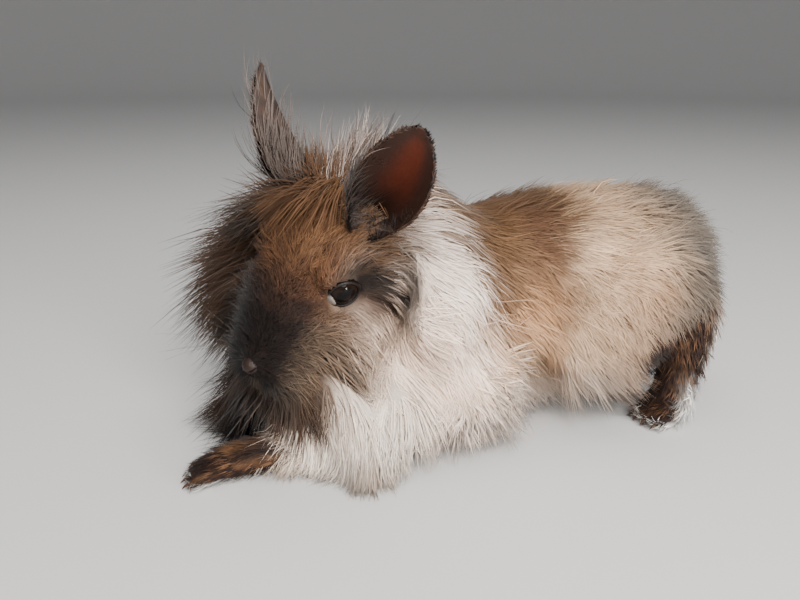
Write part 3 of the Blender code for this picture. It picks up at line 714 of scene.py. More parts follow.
def lie_of_coat(points, normals, weight):
    """Start and end directions, length, width and lift of the hair at each root, mixed from the regions
    there."""
    n = len(points)
    start, end = np.zeros((n, 3)), np.zeros((n, 3))
    length, width, lift = np.zeros(n), np.zeros(n), np.zeros(n)
    f, l, u = in_head(points).T
    mane_start, mane_end = mane_lie(points)
    coat_start, coat_end = coat_lie(normals)
    near = ramp(-15, 20, l)
    rim = ramp(-34, -4, f)

    def add(name, first, last, long, wide, high):
        nonlocal start, end, length, width, lift
        share = share_of(weight, name)
        start += share[:, None] * first
        end += share[:, None] * last
        length += share * long
        width += share * wide
        lift += share * high

    # The face's short hair runs back from the nose, and down on the cheeks.
    mane = long_face(points)
    brush = -FORWARD + LEFT * np.sign(l)[:, None] * 0.25 + DOWN * ramp(0, -14, u)[:, None] * 0.5
    face_start = along_surface(brush, normals, 0.95)
    face_end = along_surface(brush, normals, 0.45)
    # Its long hair streams back and down on the left, and out and down on the right, and hangs from the chin.
    cheek_start = blend(0.2 * FORWARD - 0.5 * LEFT, 0.5 * DOWN - 0.5 * FORWARD, near)
    cheek_end = blend(0.6 * DOWN - 0.55 * LEFT + 0.25 * FORWARD, 0.95 * DOWN + 0.3 * BACK, near)
    low = ramp(-4, -16, u)
    chin = ramp(24, 36, f) * low
    cheek_start = blend(unit(mane_start), unit(blend(cheek_start, DOWN, chin)), low)
    cheek_end = blend(unit(mane_end), unit(blend(cheek_end, DOWN, chin)), low)
    mane_root = unit(unit(cheek_start) * 0.8 + normals * 0.4)
    fluff = 1.4 * ramp(0, -14, l) + 0.35 * ramp(4, 16, u) * ramp(40, 20, f)
    fluff = fluff + 0.8 * ramp(-6, -18, f) * ramp(6, 14, u)
    short = 4.2 + 3.6 * ramp(30, -5, f) + 2.0 * ramp(-5, -25, f) + 2.5 * ramp(-16, -26, u) + 8 * fluff
    face_start = unit(face_start + normals * (0.7 * fluff)[:, None])
    cheek = 36 + 8 * ramp(8, -25, f) - 8 * ramp(0, 25, u) - 12 * chin + 14 * (1 - near)
    cheek = cheek + 8 * ramp(-10, -20, u) * near * (1 - chin)
    add(
        "skull",
        unit(blend(face_start, mane_root, mane)),
        unit(blend(face_end, unit(cheek_end), mane)),
        short * (1 - mane) + cheek * mane,
        0.5 + 0.12 * mane,
        3 + 7 * fluff + (13 + 30 * (1 - near) * rim + 18 * ramp(-6, -18, u) * near) * mane,
    )
    ruff = 46 + 22 * (1 - near) * rim - 12 * ramp(10, 40, u) * near
    drape = ramp(-4, -16, u) * near * ramp(-24, -4, f)
    ruff_end = unit(mane_end + DOWN * (0.6 * drape)[:, None])
    # Where the mane's slope faces the eye, its hair climbs out of the hollow and lies back over the rim.
    facing = ramp(0.15, 0.55, normals @ FORWARD) * near
    out_of_hollow = unit(LEFT * 0.9 + normals * 0.25)
    over_rim = unit(LEFT * 0.4 - FORWARD * 0.8 + DOWN * 0.3)
    ruff = (ruff + 6 * drape) * (1 - 0.45 * facing)
    ruff_lift = (7 + 16 * drape) * (1 - 0.5 * facing) + (5 + 55 * rim) * (1 - near)
    ruff_start = unit(blend(mane_start, out_of_hollow, facing))
    ruff_end = unit(blend(ruff_end, over_rim, facing))
    add("ruff", ruff_start, ruff_end, ruff, 0.62, ruff_lift)
    add("neck", mane_start, mane_end, 30, 0.7, 6)
    cape_start = unit(coat_start + mane_start * 0.35)
    cape_end = unit(coat_end + DOWN * 0.2)
    add("cape", cape_start, cape_end, 38, 0.7, 5)
    # The bib hangs straight down on the left and is brushed out to the front and the right.
    flat = unit(normals * (1, 1, 0))
    flare = ramp(14, -8, points[:, 0]) * ramp(-50, -85, points[:, 1])
    out_share, fall = 0.5 + 0.5 * flare[:, None], 0.9 - 0.35 * flare[:, None]
    spread = ramp(45, 12, points[:, 2])[:, None]
    bib_end = unit(flat * (0.12 + 0.5 * flare[:, None] + 0.45 * spread) + DOWN * (1 - 0.25 * flare[:, None]))
    crest = ramp(48, 72, points[:, 2]) * (1 - flare)
    bib_start = unit(flat * (out_share - 0.25 * crest[:, None]) + DOWN * fall)
    add("bib", bib_start, bib_end, 41 + 14 * flare - 12 * crest, 0.62, 6 + 34 * flare - 4.5 * crest)
    low = ramp(60, 30, points[:, 2])
    rear = ramp(100, 140, points[:, 1])
    skirt = low * ramp(-20, 0, points[:, 1]) * ramp(70, 40, points[:, 1])
    level = normals[:, 2]
    puff = ramp(0.2, 0.9, level) * 0.5 + ramp(-0.1, 0.5, level) * ramp(60, 110, points[:, 1])
    body_start = unit(coat_start + normals * (0.7 * puff)[:, None])
    body_end = unit(coat_end + normals * (0.3 * puff)[:, None])
    add("torso", body_start, body_end, 22 + 10 * low + 8 * skirt - 4 * rear + 5 * puff, 0.58, 4.5 + 9 * puff)
    _, y, z = points.T
    thigh = (20 + 6 * ramp(60, 35, z) - 6 * ramp(90, 115, y)) * (1 - 0.55 * foot_shadow(points))
    # A foot's hair runs down it and forward over the toes.
    ahead = ramp(22, 6, z)[:, None]
    foot = along_surface(DOWN * (1 - ahead) - BACK * ahead, normals, 0.45)
    foot_end = along_surface(DOWN * (1.1 - ahead) - BACK * ahead, normals, 0.1)
    # A foreleg is long-haired at its elbow and short-haired at its paw.
    elbow = ramp(-45, -10, y)
    leg = unit(blend(along_surface(-BACK + DOWN * 0.15, normals, 0.3), coat_start, elbow))
    leg_end = unit(blend(along_surface(-BACK + DOWN * 0.3, normals, 0.05), coat_end, elbow))
    for side in SIDES:
        add("thigh_" + side, body_start, body_end, thigh + 4 * puff, 0.58, 4 + 8 * puff)
        add("hind_foot_" + side, foot, foot_end, 9 + 5 * ramp(95, 112, y), 0.55, 6)
        add("foreleg_" + side, leg, leg_end, 9 + 17 * elbow, 0.5 + 0.3 * elbow, 4 + 3 * elbow)
    tail_start = unit(normals * 0.45 + BACK * 0.3 + DOWN * 0.8)
    add("tail", tail_start, unit(normals * 0.1 + BACK * 0.2 + DOWN), 15, 0.65, 4)
    start, end = unit(start), unit(end)
    # Round the eyes it is short and parts away from the lids.
    for side in SIDES:
        rel = (points - eye_place(side)) @ lid_axes(side)
        reach = np.hypot(rel[:, 0] / LID_OPENING[0], rel[:, 2] / LID_OPENING[1])
        close = ramp(2.6, 1.1, reach) * (rel[:, 1] > -3)
        away = np.stack([rel[:, 0], 0 * reach, rel[:, 2]], 1) @ lid_axes(side).T
        away = unit(away - normals * (away * normals).sum(1, keepdims=True)) * close[:, None]
        start, end = unit(start + away * 1.3), unit(end + away * 1.6)
        length = length * (1 - 0.5 * close)
        width = width * (1 - 0.35 * close)
    return clear_of_skin(start, normals, 0.3), end, length, width, lift


def foot_shadow(points):
    """1 on the dark part of the haunch and the hock, below a line that rises to the rear, and 0 elsewhere:
    partly dark fur, partly painted shadow under the belly and thigh.
    """
    _, y, z = points.T
    return ramp(4, -6, z - 50 - 0.28 * (y - 45)) * ramp(58, 70, y)


def clear_of_skin(direction, normals, least):
    """The directions, turned outwards where they rise from the surface by less than the least share."""
    rise = (direction * normals).sum(1, keepdims=True)
    return unit(direction + normals * np.maximum(least - rise, 0) * 1.05)


# Markings


def mix(base, name, mask):
    return base + (shade(name) - base) * np.clip(mask, 0, 1)[:, None]


def markings(points, weight):
    """The coat's colour at each place, the same for the skin and for the tufts; the skin's copy is darkened
    as painted shade.
    """
    x, y, z = points.T
    f, l, u = in_head(points).T
    mottle = ripple(points, 26, 3)
    fine = ripple(points, 9, 4)
    side = np.abs(x)
    head = share_of(weight, "skull")
    mane = weight[:, [REGIONS.index(name) for name in ("ruff", "cape", "neck")]].sum(1)
    cape_edge = y + np.maximum(0.8 * (z - 95), -18) + 3 * mottle
    mane = mane * ramp(-26, -40, cape_edge) + share_of(weight, "bib")

    # The body: fawn flanks, an olive brown back and shoulders, a dark patch and an apricot one behind them, a
    # pale skirt and a grey rump, its own grey darkened further as painted shade where the rump turns from the
    # light.
    coat = plain_colour("oatmeal", len(points))
    coat = mix(coat, "apricot", 0.5 * ramp(-0.3, 0.8, mottle) * ramp(100, 80, z))
    mirrored = np.stack([side, y, z], 1)
    shoulders = ramp(36, 16, y + 0.35 * (z - 90) + 4 * mottle) * ramp(58, 84, z + 4 * mottle)
    coat = mix(coat, "hazel", 0.9 * shoulders)
    coat = mix(coat, "olive", 0.95 * ramp(94, 110, z + 3 * mottle) * ramp(64, 26, y))
    coat = mix(coat, "umber", 0.9 * spot(mirrored, (28, 14, 100), (28, 13, 24)))
    coat = mix(coat, "apricot", 0.8 * spot(mirrored, (48, 6, 76), (14, 12, 16)))
    coat = mix(coat, "lilac", 0.8 * ramp(56, 28, z + 4 * mottle) * ramp(108, 84, y))
    coat = mix(coat, "hazel", 0.4 * ramp(92, 106, z) * ramp(40, 60, y))
    coat = mix(coat, "chestnut", 0.5 * ramp(20, 55, y) * ramp(100, 84, z))
    coat = mix(coat, "smoke", 0.4 * ramp(35, 70, y) * ramp(84, 60, z))
    # Painted shade: the rump's grey, darkened towards the rear, where it turns from the light.
    coat = mix(coat, "ash", 0.95 * ramp(60, 98, y + 5 * mottle))
    coat = mix(coat, "smoke", 0.75 * spot(mirrored, (34, 122, 88), (12, 9, 22)))
    coat = mix(coat, "apricot", 0.6 * spot(mirrored, (50, 112, 56), (14, 10, 12)))
    tail = share_of(weight, "tail")
    coat = mix(coat, "ash", tail)
    coat = mix(coat, "white", tail * ramp(66, 48, z))

    # The legs: dark hocks flecked with tan, their dark partly the fur's own and partly painted shadow under
    # the belly and thigh, pale soles, brown forelegs with white toes.
    hock = share_of(weight, "hind_foot_left", "hind_foot_right")
    thighs = share_of(weight, "thigh_left", "thigh_right")
    # Painted shadow and dark fur together, low on the haunch and the hock.
    dark_foot_and_shadow = np.clip(hock + thighs, 0, 1) * foot_shadow(points)
    coat = mix(coat, "sepia", dark_foot_and_shadow)
    coat = mix(coat, "hazel", dark_foot_and_shadow * 0.45 * ramp(0.15, 0.8, fine + 0.4 * mottle))
    coat = mix(coat, "lilac", dark_foot_and_shadow * ramp(106, 115, y))
    coat = mix(coat, "white", hock * np.maximum(ramp(92, 103, y) * ramp(32, 16, z), ramp(6, 2.5, z)))
    leg = share_of(weight, "foreleg_left", "foreleg_right")
    coat = mix(coat, "umber", leg * 0.75 * ramp(0, -30, x) * ramp(22, 44, z))
    coat = mix(coat, "sepia", leg * ramp(-45, -75, y))
    coat = mix(coat, "hazel", leg * 0.7 * ramp(-0.1, 0.8, fine) * ramp(-60, -90, y))
    coat = mix(coat, "white", leg * ramp(4.5, 2.2, z) * ramp(-60, -90, y))

    # The mane: warm brown on the right and over the nape, blush and lilac on the left, cream towards the
    # floor. The brown towards the front and the right, where the mane turns from the light, is painted shade;
    # the nape's brown is its own colour.
    # Painted shade: beyond this slanting line, towards the front and the right, the mane turns from the light
    # and is painted brown.
    edge = -89 + 24 * ramp(31, 46, z)
    near = ramp(-8, 8, 0.34 * x + 0.94 * y - edge + 3 * mottle) * ramp(-16, 18, x)
    crown = ramp(8, 20, u)
    near = near * (1 - crown * ramp(16, 6, l))
    beard = plain_colour("umber", len(points))
    beard = mix(beard, "chestnut", 0.4 + 0.4 * ramp(-0.2, 0.8, mottle + fine * 0.4))
    # Painted shadow: darker sepia low at the front, where the mane hangs over the paw.
    beard = mix(beard, "sepia", 0.85 * ramp(86, 60, z) * ramp(-60, -90, y) * ramp(-50, -20, x))
    beard = mix(beard, "sepia", 0.3 * ramp(0.3, -0.6, fine))
    beard = mix(beard, "gold", 0.4 * crown * ramp(-0.4, 0.5, fine))
    pale = plain_colour("blush", len(points))
    pale = mix(pale, "lilac", 0.75 * ramp(70, 105, z + 5 * mottle))
    pale = mix(pale, "cream", 0.85 * ramp(62, 25, z + 5 * mottle))
    pale = mix(pale, "apricot", 0.35 * ramp(0.1, 0.9, ripple(points, 24, 11)) * ramp(105, 90, z))
    pale = mix(pale, "apricot", 0.55 * spot(points, (52, -18, 70), (14, 10, 16)))
    beard = beard + (pale - beard) * near[:, None]
    beard = mix(beard, "ash", 0.3 * ramp(100, 122, z + 4 * fine) * near)
    coat = coat + (beard - coat) * np.clip(mane * 1.15, 0, 1)[:, None]

    # The face: gold and ticked above, sepia from the bridge over the muzzle, dark behind the eye, russet at
    # the edges. Its gold is painted darker than the face's own colour, as shade over a face turned from the
    # light.
    long_hair = long_face(points)
    face = plain_colour("gold", len(points))
    face = mix(face, "chestnut", 0.3 * ramp(-0.3, 0.7, fine))
    face = mix(face, "russet", 0.35 * ramp(12, 24, np.abs(l + 4)) * ramp(0, 20, u + 6 * mottle))
    face = mix(face, "umber", 0.75 * ramp(0.5, -0.6, ripple(points, 5, 9)))
    face = mix(face, "umber", 0.85 * ramp(2, 20, f - 0.2 * (u + 10)))
    face = mix(face, "sepia", ramp(10, 30, f - 0.25 * (u + 10) + 3 * fine))
    face = mix(face, "ink", 0.75 * ramp(24, 40, f - 0.2 * (u + 10) + 3 * fine))
    for sign in (1, -1):
        around_eye = in_head(points) - np.array(EYE_AT) * (1, sign, 1)
        face = mix(face, "apricot", 0.35 * spot(around_eye, (-17, 2 * sign, -6), (9, 12, 10)))
        face = mix(face, "sepia", 0.8 * spot(around_eye, (1, 4 * sign, -2), (9, 8, 8)))
    face = mix(face, "umber", 0.5 * ramp(-16, -30, f) * ramp(18, 30, u))
    # The chin and the lips stay dark, also where their hair is long.
    jaw = ramp(20, 34, f - 0.35 * (u + 20) + 3 * fine)
    face = face + (beard - face) * (long_hair * (1 - jaw))[:, None]
    coat = coat + (face - coat) * np.clip(head * 1.1, 0, 1)[:, None]
    # Dark patches behind the eyes and a dark chin, whichever form they lie on.
    for sign in (1, -1):
        around_eye = in_head(points) - np.array(EYE_AT) * (1, sign, 1)
        coat = mix(coat, "olive", 0.85 * spot(around_eye, (-12, 8 * sign, 12), (12, 30, 8)))
        coat = mix(coat, "chestnut", 0.6 * spot(around_eye, (-6, 11 * sign, -11), (12, 13, 8)))
        coat = mix(coat, "ink", np.minimum(1.7 * spot(around_eye, (-7, 6 * sign, -2), (7, 13, 7)), 0.95))
        coat = mix(coat, "ink", 0.8 * spot(around_eye, (-3, 3 * sign, 7), (8, 10, 4)))
        coat = mix(coat, "umber", 0.6 * spot(around_eye, (0, 2 * sign, -8), (9, 14, 4)))
    coat = mix(coat, "sepia", 0.85 * spot(in_head(points), (32, 9, -34), (17, 16, 12)))
    # Painted shade: the head inside each ear's cup, deep in the ear's opening, is ink.
    coat = mix(coat, "ink", in_ear(points))
    return coat * (1 + 0.10 * mottle + 0.05 * fine)[:, None]


# Distances from the skin


class Field:
    """The distance from the skin and its slope, worked out on a grid: each grid point keeps the nearest
    skin point that it hears of from its neighbours, over jumps that grow shorter."""

    CELL = 4.0
    MARGIN = 40.0

    def __init__(self, points, normals):
        self.low = points.min(0) - self.MARGIN
        counts = np.ceil((points.max(0) + self.MARGIN - self.low) / self.CELL).astype(int)
        steps = np.meshgrid(*(np.arange(n) for n in counts), indexing="ij")
        grid = np.stack(steps, -1) * self.CELL + self.low
        nearest = np.full(counts, -1)
        nearest[tuple(((points - self.low) / self.CELL).round().astype(int).T)] = np.arange(len(points))
        best = np.where(nearest >= 0, np.linalg.norm(points[nearest] - grid, axis=-1), np.inf)
        for jump in (32, 16, 8, 4, 2, 1, 2, 1):
            for axis in range(3):
                for way in (-jump, jump):
                    heard = np.roll(nearest, way, axis)
                    far = np.where(heard >= 0, np.linalg.norm(points[heard] - grid, axis=-1), np.inf)
                    nearest = np.where(far < best, heard, nearest)
                    best = np.minimum(far, best)
        side = np.sign(((grid - points[nearest]) * normals[nearest]).sum(-1))
        gap = best * side
        slope = np.stack(np.gradient(gap, self.CELL), -1)
        self.table = np.concatenate([gap[..., None], slope], -1)

    def read(self, places):
        """Distances and slopes at these places, blended from the eight grid points round each."""
        at = (places - self.low) / self.CELL
        top = np.array(self.table.shape[:3]) - 1.001
        at = np.clip(at, 0, top)
        cell = at.astype(int)
        part = at - cell
        found = 0
        for corner in np.ndindex(2, 2, 2):
            share = np.prod(np.where(corner, part, 1 - part), axis=-1, keepdims=True)
            i, j, k = (cell + corner).reshape(-1, 3).T
            found = found + share * self.table[i, j, k].reshape(*places.shape[:-1], 4)
        return found[..., 0], unit(found[..., 1:])


# Tufts


def scatter(points, faces, normals, share, count, draw):
    """Random places on a mesh, as many on each triangle as its area and share ask: barycentric sums of
    its corners."""
    corner = points[faces]
    area = np.linalg.norm(np.cross(corner[:, 1] - corner[:, 0], corner[:, 2] - corner[:, 0]), axis=1)
    chance = area * share[faces].mean(1)
    picked = draw.choice(len(faces), count, p=chance / chance.sum())
    a, b = draw.random((2, count))
    flip = a + b > 1
    a[flip], b[flip] = 1 - a[flip], 1 - b[flip]
    blend = np.stack([1 - a - b, a, b], 1)[:, :, None]
    return (corner[picked] * blend).sum(1), unit((normals[faces[picked]] * blend).sum(1)), picked


def clump(roots, size, draw):
    """For each root the nearest of some random others, and that one's sway, so that hairs gather into
    locks."""
    count = max(1, int(len(roots) / size))
    heads = draw.choice(len(roots), count, replace=False)
    nearest = np.empty(len(roots), int)
    for first in range(0, len(roots), 4000):
        part = slice(first, first + 4000)
        gap = ((roots[part, None] - roots[heads]) ** 2).sum(-1)
        nearest[part] = gap.argmin(1)
    return heads[nearest], nearest, count


def grow(first, start, end, length, steps, field, lift):
    """The path of each tuft, step by step: it turns from the start to the end direction, never sinks
    under the skin and rises from it by no more than its lift, but hangs free where the skin faces
    down."""
    substeps = 2
    path = [first]
    place = first
    for early, late in zip(steps[:-1], steps[1:]):
        for k in range(substeps):
            t = early + (late - early) * (k + 1) / substeps
            ahead = unit(start * (1 - t) ** 1.3 + end * t)
            place = place + ahead * (length * (late - early) / substeps)[:, None]
            if field is None:
                continue
            gap, slope = field.read(place)
            least = 0.6 * t + 0.2 * lift * t
            most = lift * math.sqrt(t) * (1 - 0.25 * t) + 0.5
            firm = ramp(-0.75, -0.15, slope[:, 2])
            push = np.maximum(least - gap, 0) - np.maximum(gap - most, 0) * 0.85 * firm
            place = place + slope * push[:, None]
        path.append(place)
    return np.stack(path, 1)


def tufts(roots, normals, start, end, length, width, colour, patches, draw, style, field=None, lift=None):
    """Flat, tapered tufts as closed three-sided spikes along grown paths: each is widest near its root
    and leans towards the lock that it belongs to."""
    n = len(roots)
    heads, group, groups = clump(roots, style["clump"], draw)
    sway = draw.normal(0, style["sway"], (groups, 3))[group] + draw.normal(0, style["stray"], (n, 3))
    scale = draw.normal(1, 0.10, groups)[group] * draw.uniform(0.72, 1.12, n)
    length = length * np.clip(scale, 0.45, 1.3)
    start, end = unit(start + sway * 0.6), unit(end + sway)
    first = roots - normals * style["sink"]
    pull = (roots[heads] - roots) * style["gather"]
    bow = np.cross(end, normals) * (draw.normal(0, style["bow"], groups)[group] * length)[:, None]
    if lift is not None:
        lift = lift * draw.uniform(0.3, 1.25, n)
    steps = np.array(style["steps"])
    widths = np.array(style["widths"])
    t = steps[None, :, None]
    path = grow(first, start, end, length, steps, field, lift)
    if field is not None:
        path[:, 1:-1] = (path[:, :-2] + 2 * path[:, 1:-1] + path[:, 2:]) / 4
    path = path + pull[:, None] * t**1.5 + bow[:, None] * np.sin(math.pi * t) * 0.5
    soft = np.repeat(normals[:, None], len(steps), 1)
    if field is not None:
        soft = field.read(path)[1]
    ahead = unit(np.gradient(path, axis=1))
    side = unit(np.cross(ahead, normals[:, None]))
    turn = draw.normal(0, 0.5, n)[:, None, None]
    face = unit(np.cross(side, ahead))
    side, face = side * np.cos(turn) + face * np.sin(turn), face * np.cos(turn) - side * np.sin(turn)
    half = (width * draw.uniform(0.75, 1.25, n))[:, None] * widths[None, :] / 2
    thick = half[:, :, None] * face * 0.7
    floor = draw.uniform(0.4, 2.2, n)
    rings = len(steps) - 1
    to_edge = side[:, :rings] * half[:, :rings, None]
    rows = [path[:, :rings] + to_edge, path[:, :rings] - to_edge]
    rows.append(path[:, :rings] + thick[:, :rings])
    body = np.stack(rows, 2).reshape(n, rings * 3, 3)
    points = np.concatenate([body, path[:, -1:]], 1)
    points[:, :, 2] = np.maximum(points[:, :, 2], floor[:, None])
    rim = np.stack([side[:, :rings], -side[:, :rings], face[:, :rings]], 2).reshape(n, rings * 3, 3)
    rim = np.concatenate([rim, ahead[:, -1:]], 1)
    soft = np.concatenate([np.repeat(soft[:, :rings], 3, 1), soft[:, -1:]], 1)
    shading = unit(rim * style["crisp"] + soft)

    ring = np.arange(3)
    cells = []
    for k in range(rings - 1):
        a, b = 3 * k + ring, 3 * k + (ring + 1) % 3
        cells += [np.stack([a, b, b + 3], 1), np.stack([a, b + 3, a + 3], 1)]
    last = 3 * (rings - 1)
    cells.append(np.stack([last + ring, last + (ring + 1) % 3, np.full(3, 3 * rings)], 1))
    cells.append(np.array([[2, 1, 0]]))
    cells = np.concatenate(cells)
    sample = points[0]
    corner = sample[cells] - sample.mean(0)
    if (corner[:, 0] * np.cross(corner[:, 1], corner[:, 2])).sum() < 0:
        cells = cells[:, ::-1]
    faces = (cells[None] + (np.arange(n) * (3 * rings + 1))[:, None, None]).reshape(-1, 3)

    # Darker at the root, full in the middle and a little paler at the tip: the dark root is partly the
    # undercoat's own colour and partly painted shade deep in the coat.
    at = np.append(np.repeat(steps[:rings], 3), 1.0)
    tone = np.interp(at, [0, 0.35, 0.75, 1], style["tone"])
    tint = draw.normal(1, style["vary"], n) * draw.normal(1, style["vary"], groups)[group]
    shades = colour[:, None] * (tone[None] * np.clip(tint, 0.6, 1.45)[:, None])[:, :, None]
    across = np.append(np.tile([0.0, 1.0, 0.5], rings), 0.5)
    square = (np.stack([across, at], 1) - 0.5) * 0.003
    maps = patches[:, None] + square[None]
    return points.reshape(-1, 3), faces, shades.reshape(-1, 3), maps.reshape(-1, 2), shading.reshape(-1, 3)


STYLE = {
    "long": dict(
        steps=(0, 0.3, 0.62, 1), widths=(0.7, 1.0, 0.72, 0),
        crisp=0.25, sink=2.0, clump=24, sway=0.12, stray=0.07,
        gather=0.4, bow=0.06, tone=(0.68, 0.92, 1.04, 1.12), vary=0.09,
    ),
    "coat": dict(
        steps=(0, 0.45, 1), widths=(0.75, 1.0, 0), crisp=0.22, sink=1.5, clump=18, sway=0.2, stray=0.13,
        gather=0.18, bow=0.05, tone=(0.74, 0.93, 1.04, 1.08), vary=0.06,
    ),
    "short": dict(
        steps=(0, 0.5, 1), widths=(0.85, 1.0, 0), crisp=0.3, sink=0.8, clump=7, sway=0.24, stray=0.2,
        gather=0.25, bow=0.04, tone=(0.45, 0.85, 1.08, 1.2), vary=0.2,
    ),
    "ear": dict(
        steps=(0, 0.5, 1), widths=(0.85, 1.0, 0), crisp=0.3, sink=0.7, clump=8, sway=0.1, stray=0.06,
        gather=0.2, bow=0.02, tone=(0.6, 0.88, 1.04, 1.1), vary=0.12,
    ),
    "wisp": dict(
        steps=(0, 0.25, 0.5, 0.75, 1), widths=(0.6, 1.0, 0.8, 0.5, 0),
        crisp=0.5, sink=1.5, clump=7, sway=0.16, stray=0.10,
        gather=0.5, bow=0.12, tone=(0.7, 0.95, 1.05, 1.1), vary=0.08,
    ),
}
# Each coat piece: the regions that it grows on, on which side, its number of tufts and its style.
COATS = [
    ("coat_face", ("skull",), None, 16500, "short"),
    ("coat_cheeks", ("skull",), None, 9500, "long"),
    ("coat_mane_left", ("ruff", "neck"), "left", 10000, "long"),
    ("coat_mane_right", ("ruff", "neck"), "right", 7700, "long"),
    ("coat_shoulders", ("cape",), None, 7000, "long"),
    ("coat_bib", ("bib",), None, 9500, "long"),
    ("coat_body_left", ("torso",), "left", 16500, "coat"),
    ("coat_body_right", ("torso",), "right", 8500, "coat"),
    ("coat_haunches", ("thigh_left", "thigh_right", "tail"), None, 13500, "coat"),
    ("coat_legs", LEGS, None, 12500, "short"),
]
SLOTS = {
    "coat_face": "fawn", "coat_cheeks": "cream", "coat_mane_left": "cream", "coat_mane_right": "fawn",
    "coat_shoulders": "cream", "coat_bib": "cream", "coat_body_left": "fawn", "coat_body_right": "fawn",
    "coat_haunches": "fawn", "coat_legs": "sable",
}


def eye_clear(points):
    """0 over the eyes' openings and the nose, where no tuft grows, and 1 elsewhere."""
    clear = np.ones(len(points))
    for side in SIDES:
        local = (points - eye_place(side)) @ lid_axes(side)
        inside = (local[:, 0] / (LID_OPENING[0] + 1.6)) ** 2 + (local[:, 2] / (LID_OPENING[1] + 1.6)) ** 2
        clear *= np.where((inside < 1) & (local[:, 1] > -2), 0.0, 1.0)
    f, l, u = in_head(points).T
    nose = (l / 4.2) ** 2 + ((u - NOSE_AT[2]) / 3.4) ** 2
    return clear * np.where((nose < 1) & (f > 50), 0.0, 1.0) * (1 - in_ear(points))


def in_ear(points):
    """1 where the head shows inside the cup of an ear, and 0 elsewhere."""
    inside = np.zeros(len(points))
    for side in SIDES:
        root, along, mouth, across = ear_frame(side)
        rel = points - root
        wide = np.hypot(rel @ mouth - EAR_CUP, rel @ across) / EAR_CUP
        inside = np.maximum(inside, ramp(1.25, 0.95, wide) * ramp(-3, 1, rel @ along))
    return inside


def in_the_open(points, normals, field):
    """0 in a crevice of the skin, where hair would have no room, and 1 on open skin."""
    return ramp(1.5, 4, field.read(points + normals * 6)[0])


def grow_coats(skin, field):
    """Every coat piece, from roots scattered on the skin where its regions weigh most."""
    points, faces, normals = skin
    weight, patches, nearest = weigh_regions(points)
    own = np.eye(len(REGIONS))[nearest]
    long_hair = long_face(points)
    head_left = in_head(points)[:, 1] > 0
    under = 1 - 0.4 * ramp(-0.2, -0.7, normals[:, 2]) * ramp(60, 30, points[:, 2])
    clear = eye_clear(points) * in_the_open(points, normals, field)
    made = []
    for number, (name, regions, half, count, kind) in enumerate(COATS):
        share = own[:, [REGIONS.index(region) for region in regions]].sum(1) * under * clear
        if name == "coat_face":
            share = share * ramp(0.75, 0.25, long_hair)
        elif name == "coat_cheeks":
            share = share * ramp(0.1, 0.5, long_hair)
        if half:
            on_left = points[:, 0] > 0 if "torso" in regions else head_left
            share = share * (on_left if half == "left" else ~on_left)
        draw = np.random.default_rng(SEED + number)
        count = count
        roots, out, picked = scatter(points, faces, normals, share, count, draw)
        near = faces[picked][:, 0]
        start, end, length, width, lift = lie_of_coat(roots, out, weight[near])
        colour = markings(roots, weight[near])
        spikes = tufts(
            roots, out, start, end, length, width, colour, patches[near], draw, STYLE[kind], field, lift
        )
        made.append((make_coat(name, spikes), SLOTS[name]))
    return made, weight


def make_coat(name, spikes):
    points, faces, colour, patches, shading = spikes
    piece = make_object(name, points, faces, colour, patches)
    piece.data.normals_split_custom_set_from_vertices(shading)
    piece.data.materials.append(COAT_FINISH)
    return piece


def point_normals(points, faces):
    """The mean outward direction of the triangles round each point."""
    corner = points[faces]
    turn = np.cross(corner[:, 1] - corner[:, 0], corner[:, 2] - corner[:, 0])
    normals = np.zeros_like(points)
    for k in range(3):
        np.add.at(normals, faces[:, k], turn)
    return unit(normals)


# Ears


def ear_frame(side):
    """An ear's root and its directions: along it, out of its mouth and across it."""
    along = HEAD @ unit(EAR_AIM[side])
    mouth = HEAD @ unit(EAR_MOUTH[side])
    mouth = unit(mouth - along * (mouth @ along))
    return on_head(EAR_ROOT[side]), along, mouth, np.cross(along, mouth)


def ear_sheet(side, rows=46, columns=31):
    """A curled sheet: centre - mouth x radius x cosine + across x radius x sine of the angle, whose
    radius, wrap and bend change along it, with an inner face drawn in by the wall, which thins towards
    the rim."""
    root, along, mouth, across = ear_frame(side)
    w = np.linspace(0, 1, rows)
    share, radius, wrap, back = read_rows(EAR_CURL, w).T
    turn = np.linspace(-1, 1, columns)
    a = np.radians(wrap)[:, None] * turn
    centre = root + along * (share * EAR_LENGTH[side])[:, None] + mouth * (back + radius)[:, None]
    wall = EAR_WALL * (1 - 0.65 * np.abs(turn) ** 4) * (1 - 0.45 * w[:, None])
    faces_of = []
    for inward in (0, wall):
        r = radius[:, None] - inward
        shape = centre[:, None] - mouth * (np.cos(a) * r)[..., None] + across * (np.sin(a) * r)[..., None]
        faces_of.append(shape)
    rings = np.concatenate([faces_of[0], faces_of[1][:, ::-1]], 1)
    points, faces = closed_tube(rings)
    inner = np.tile(np.append(np.zeros(columns), np.ones(columns)), rows)
    edge = np.tile(np.append(np.abs(turn), np.abs(turn[::-1])), rows)
    high = np.repeat(w, 2 * columns)
    wide = np.tile(np.append(turn, turn[::-1]), rows)
    facts = np.stack([inner, edge, high, wide], 1)
    return points, faces, np.vstack([facts, [1, 0, 0, 0], [0, 0, 1, 0]])


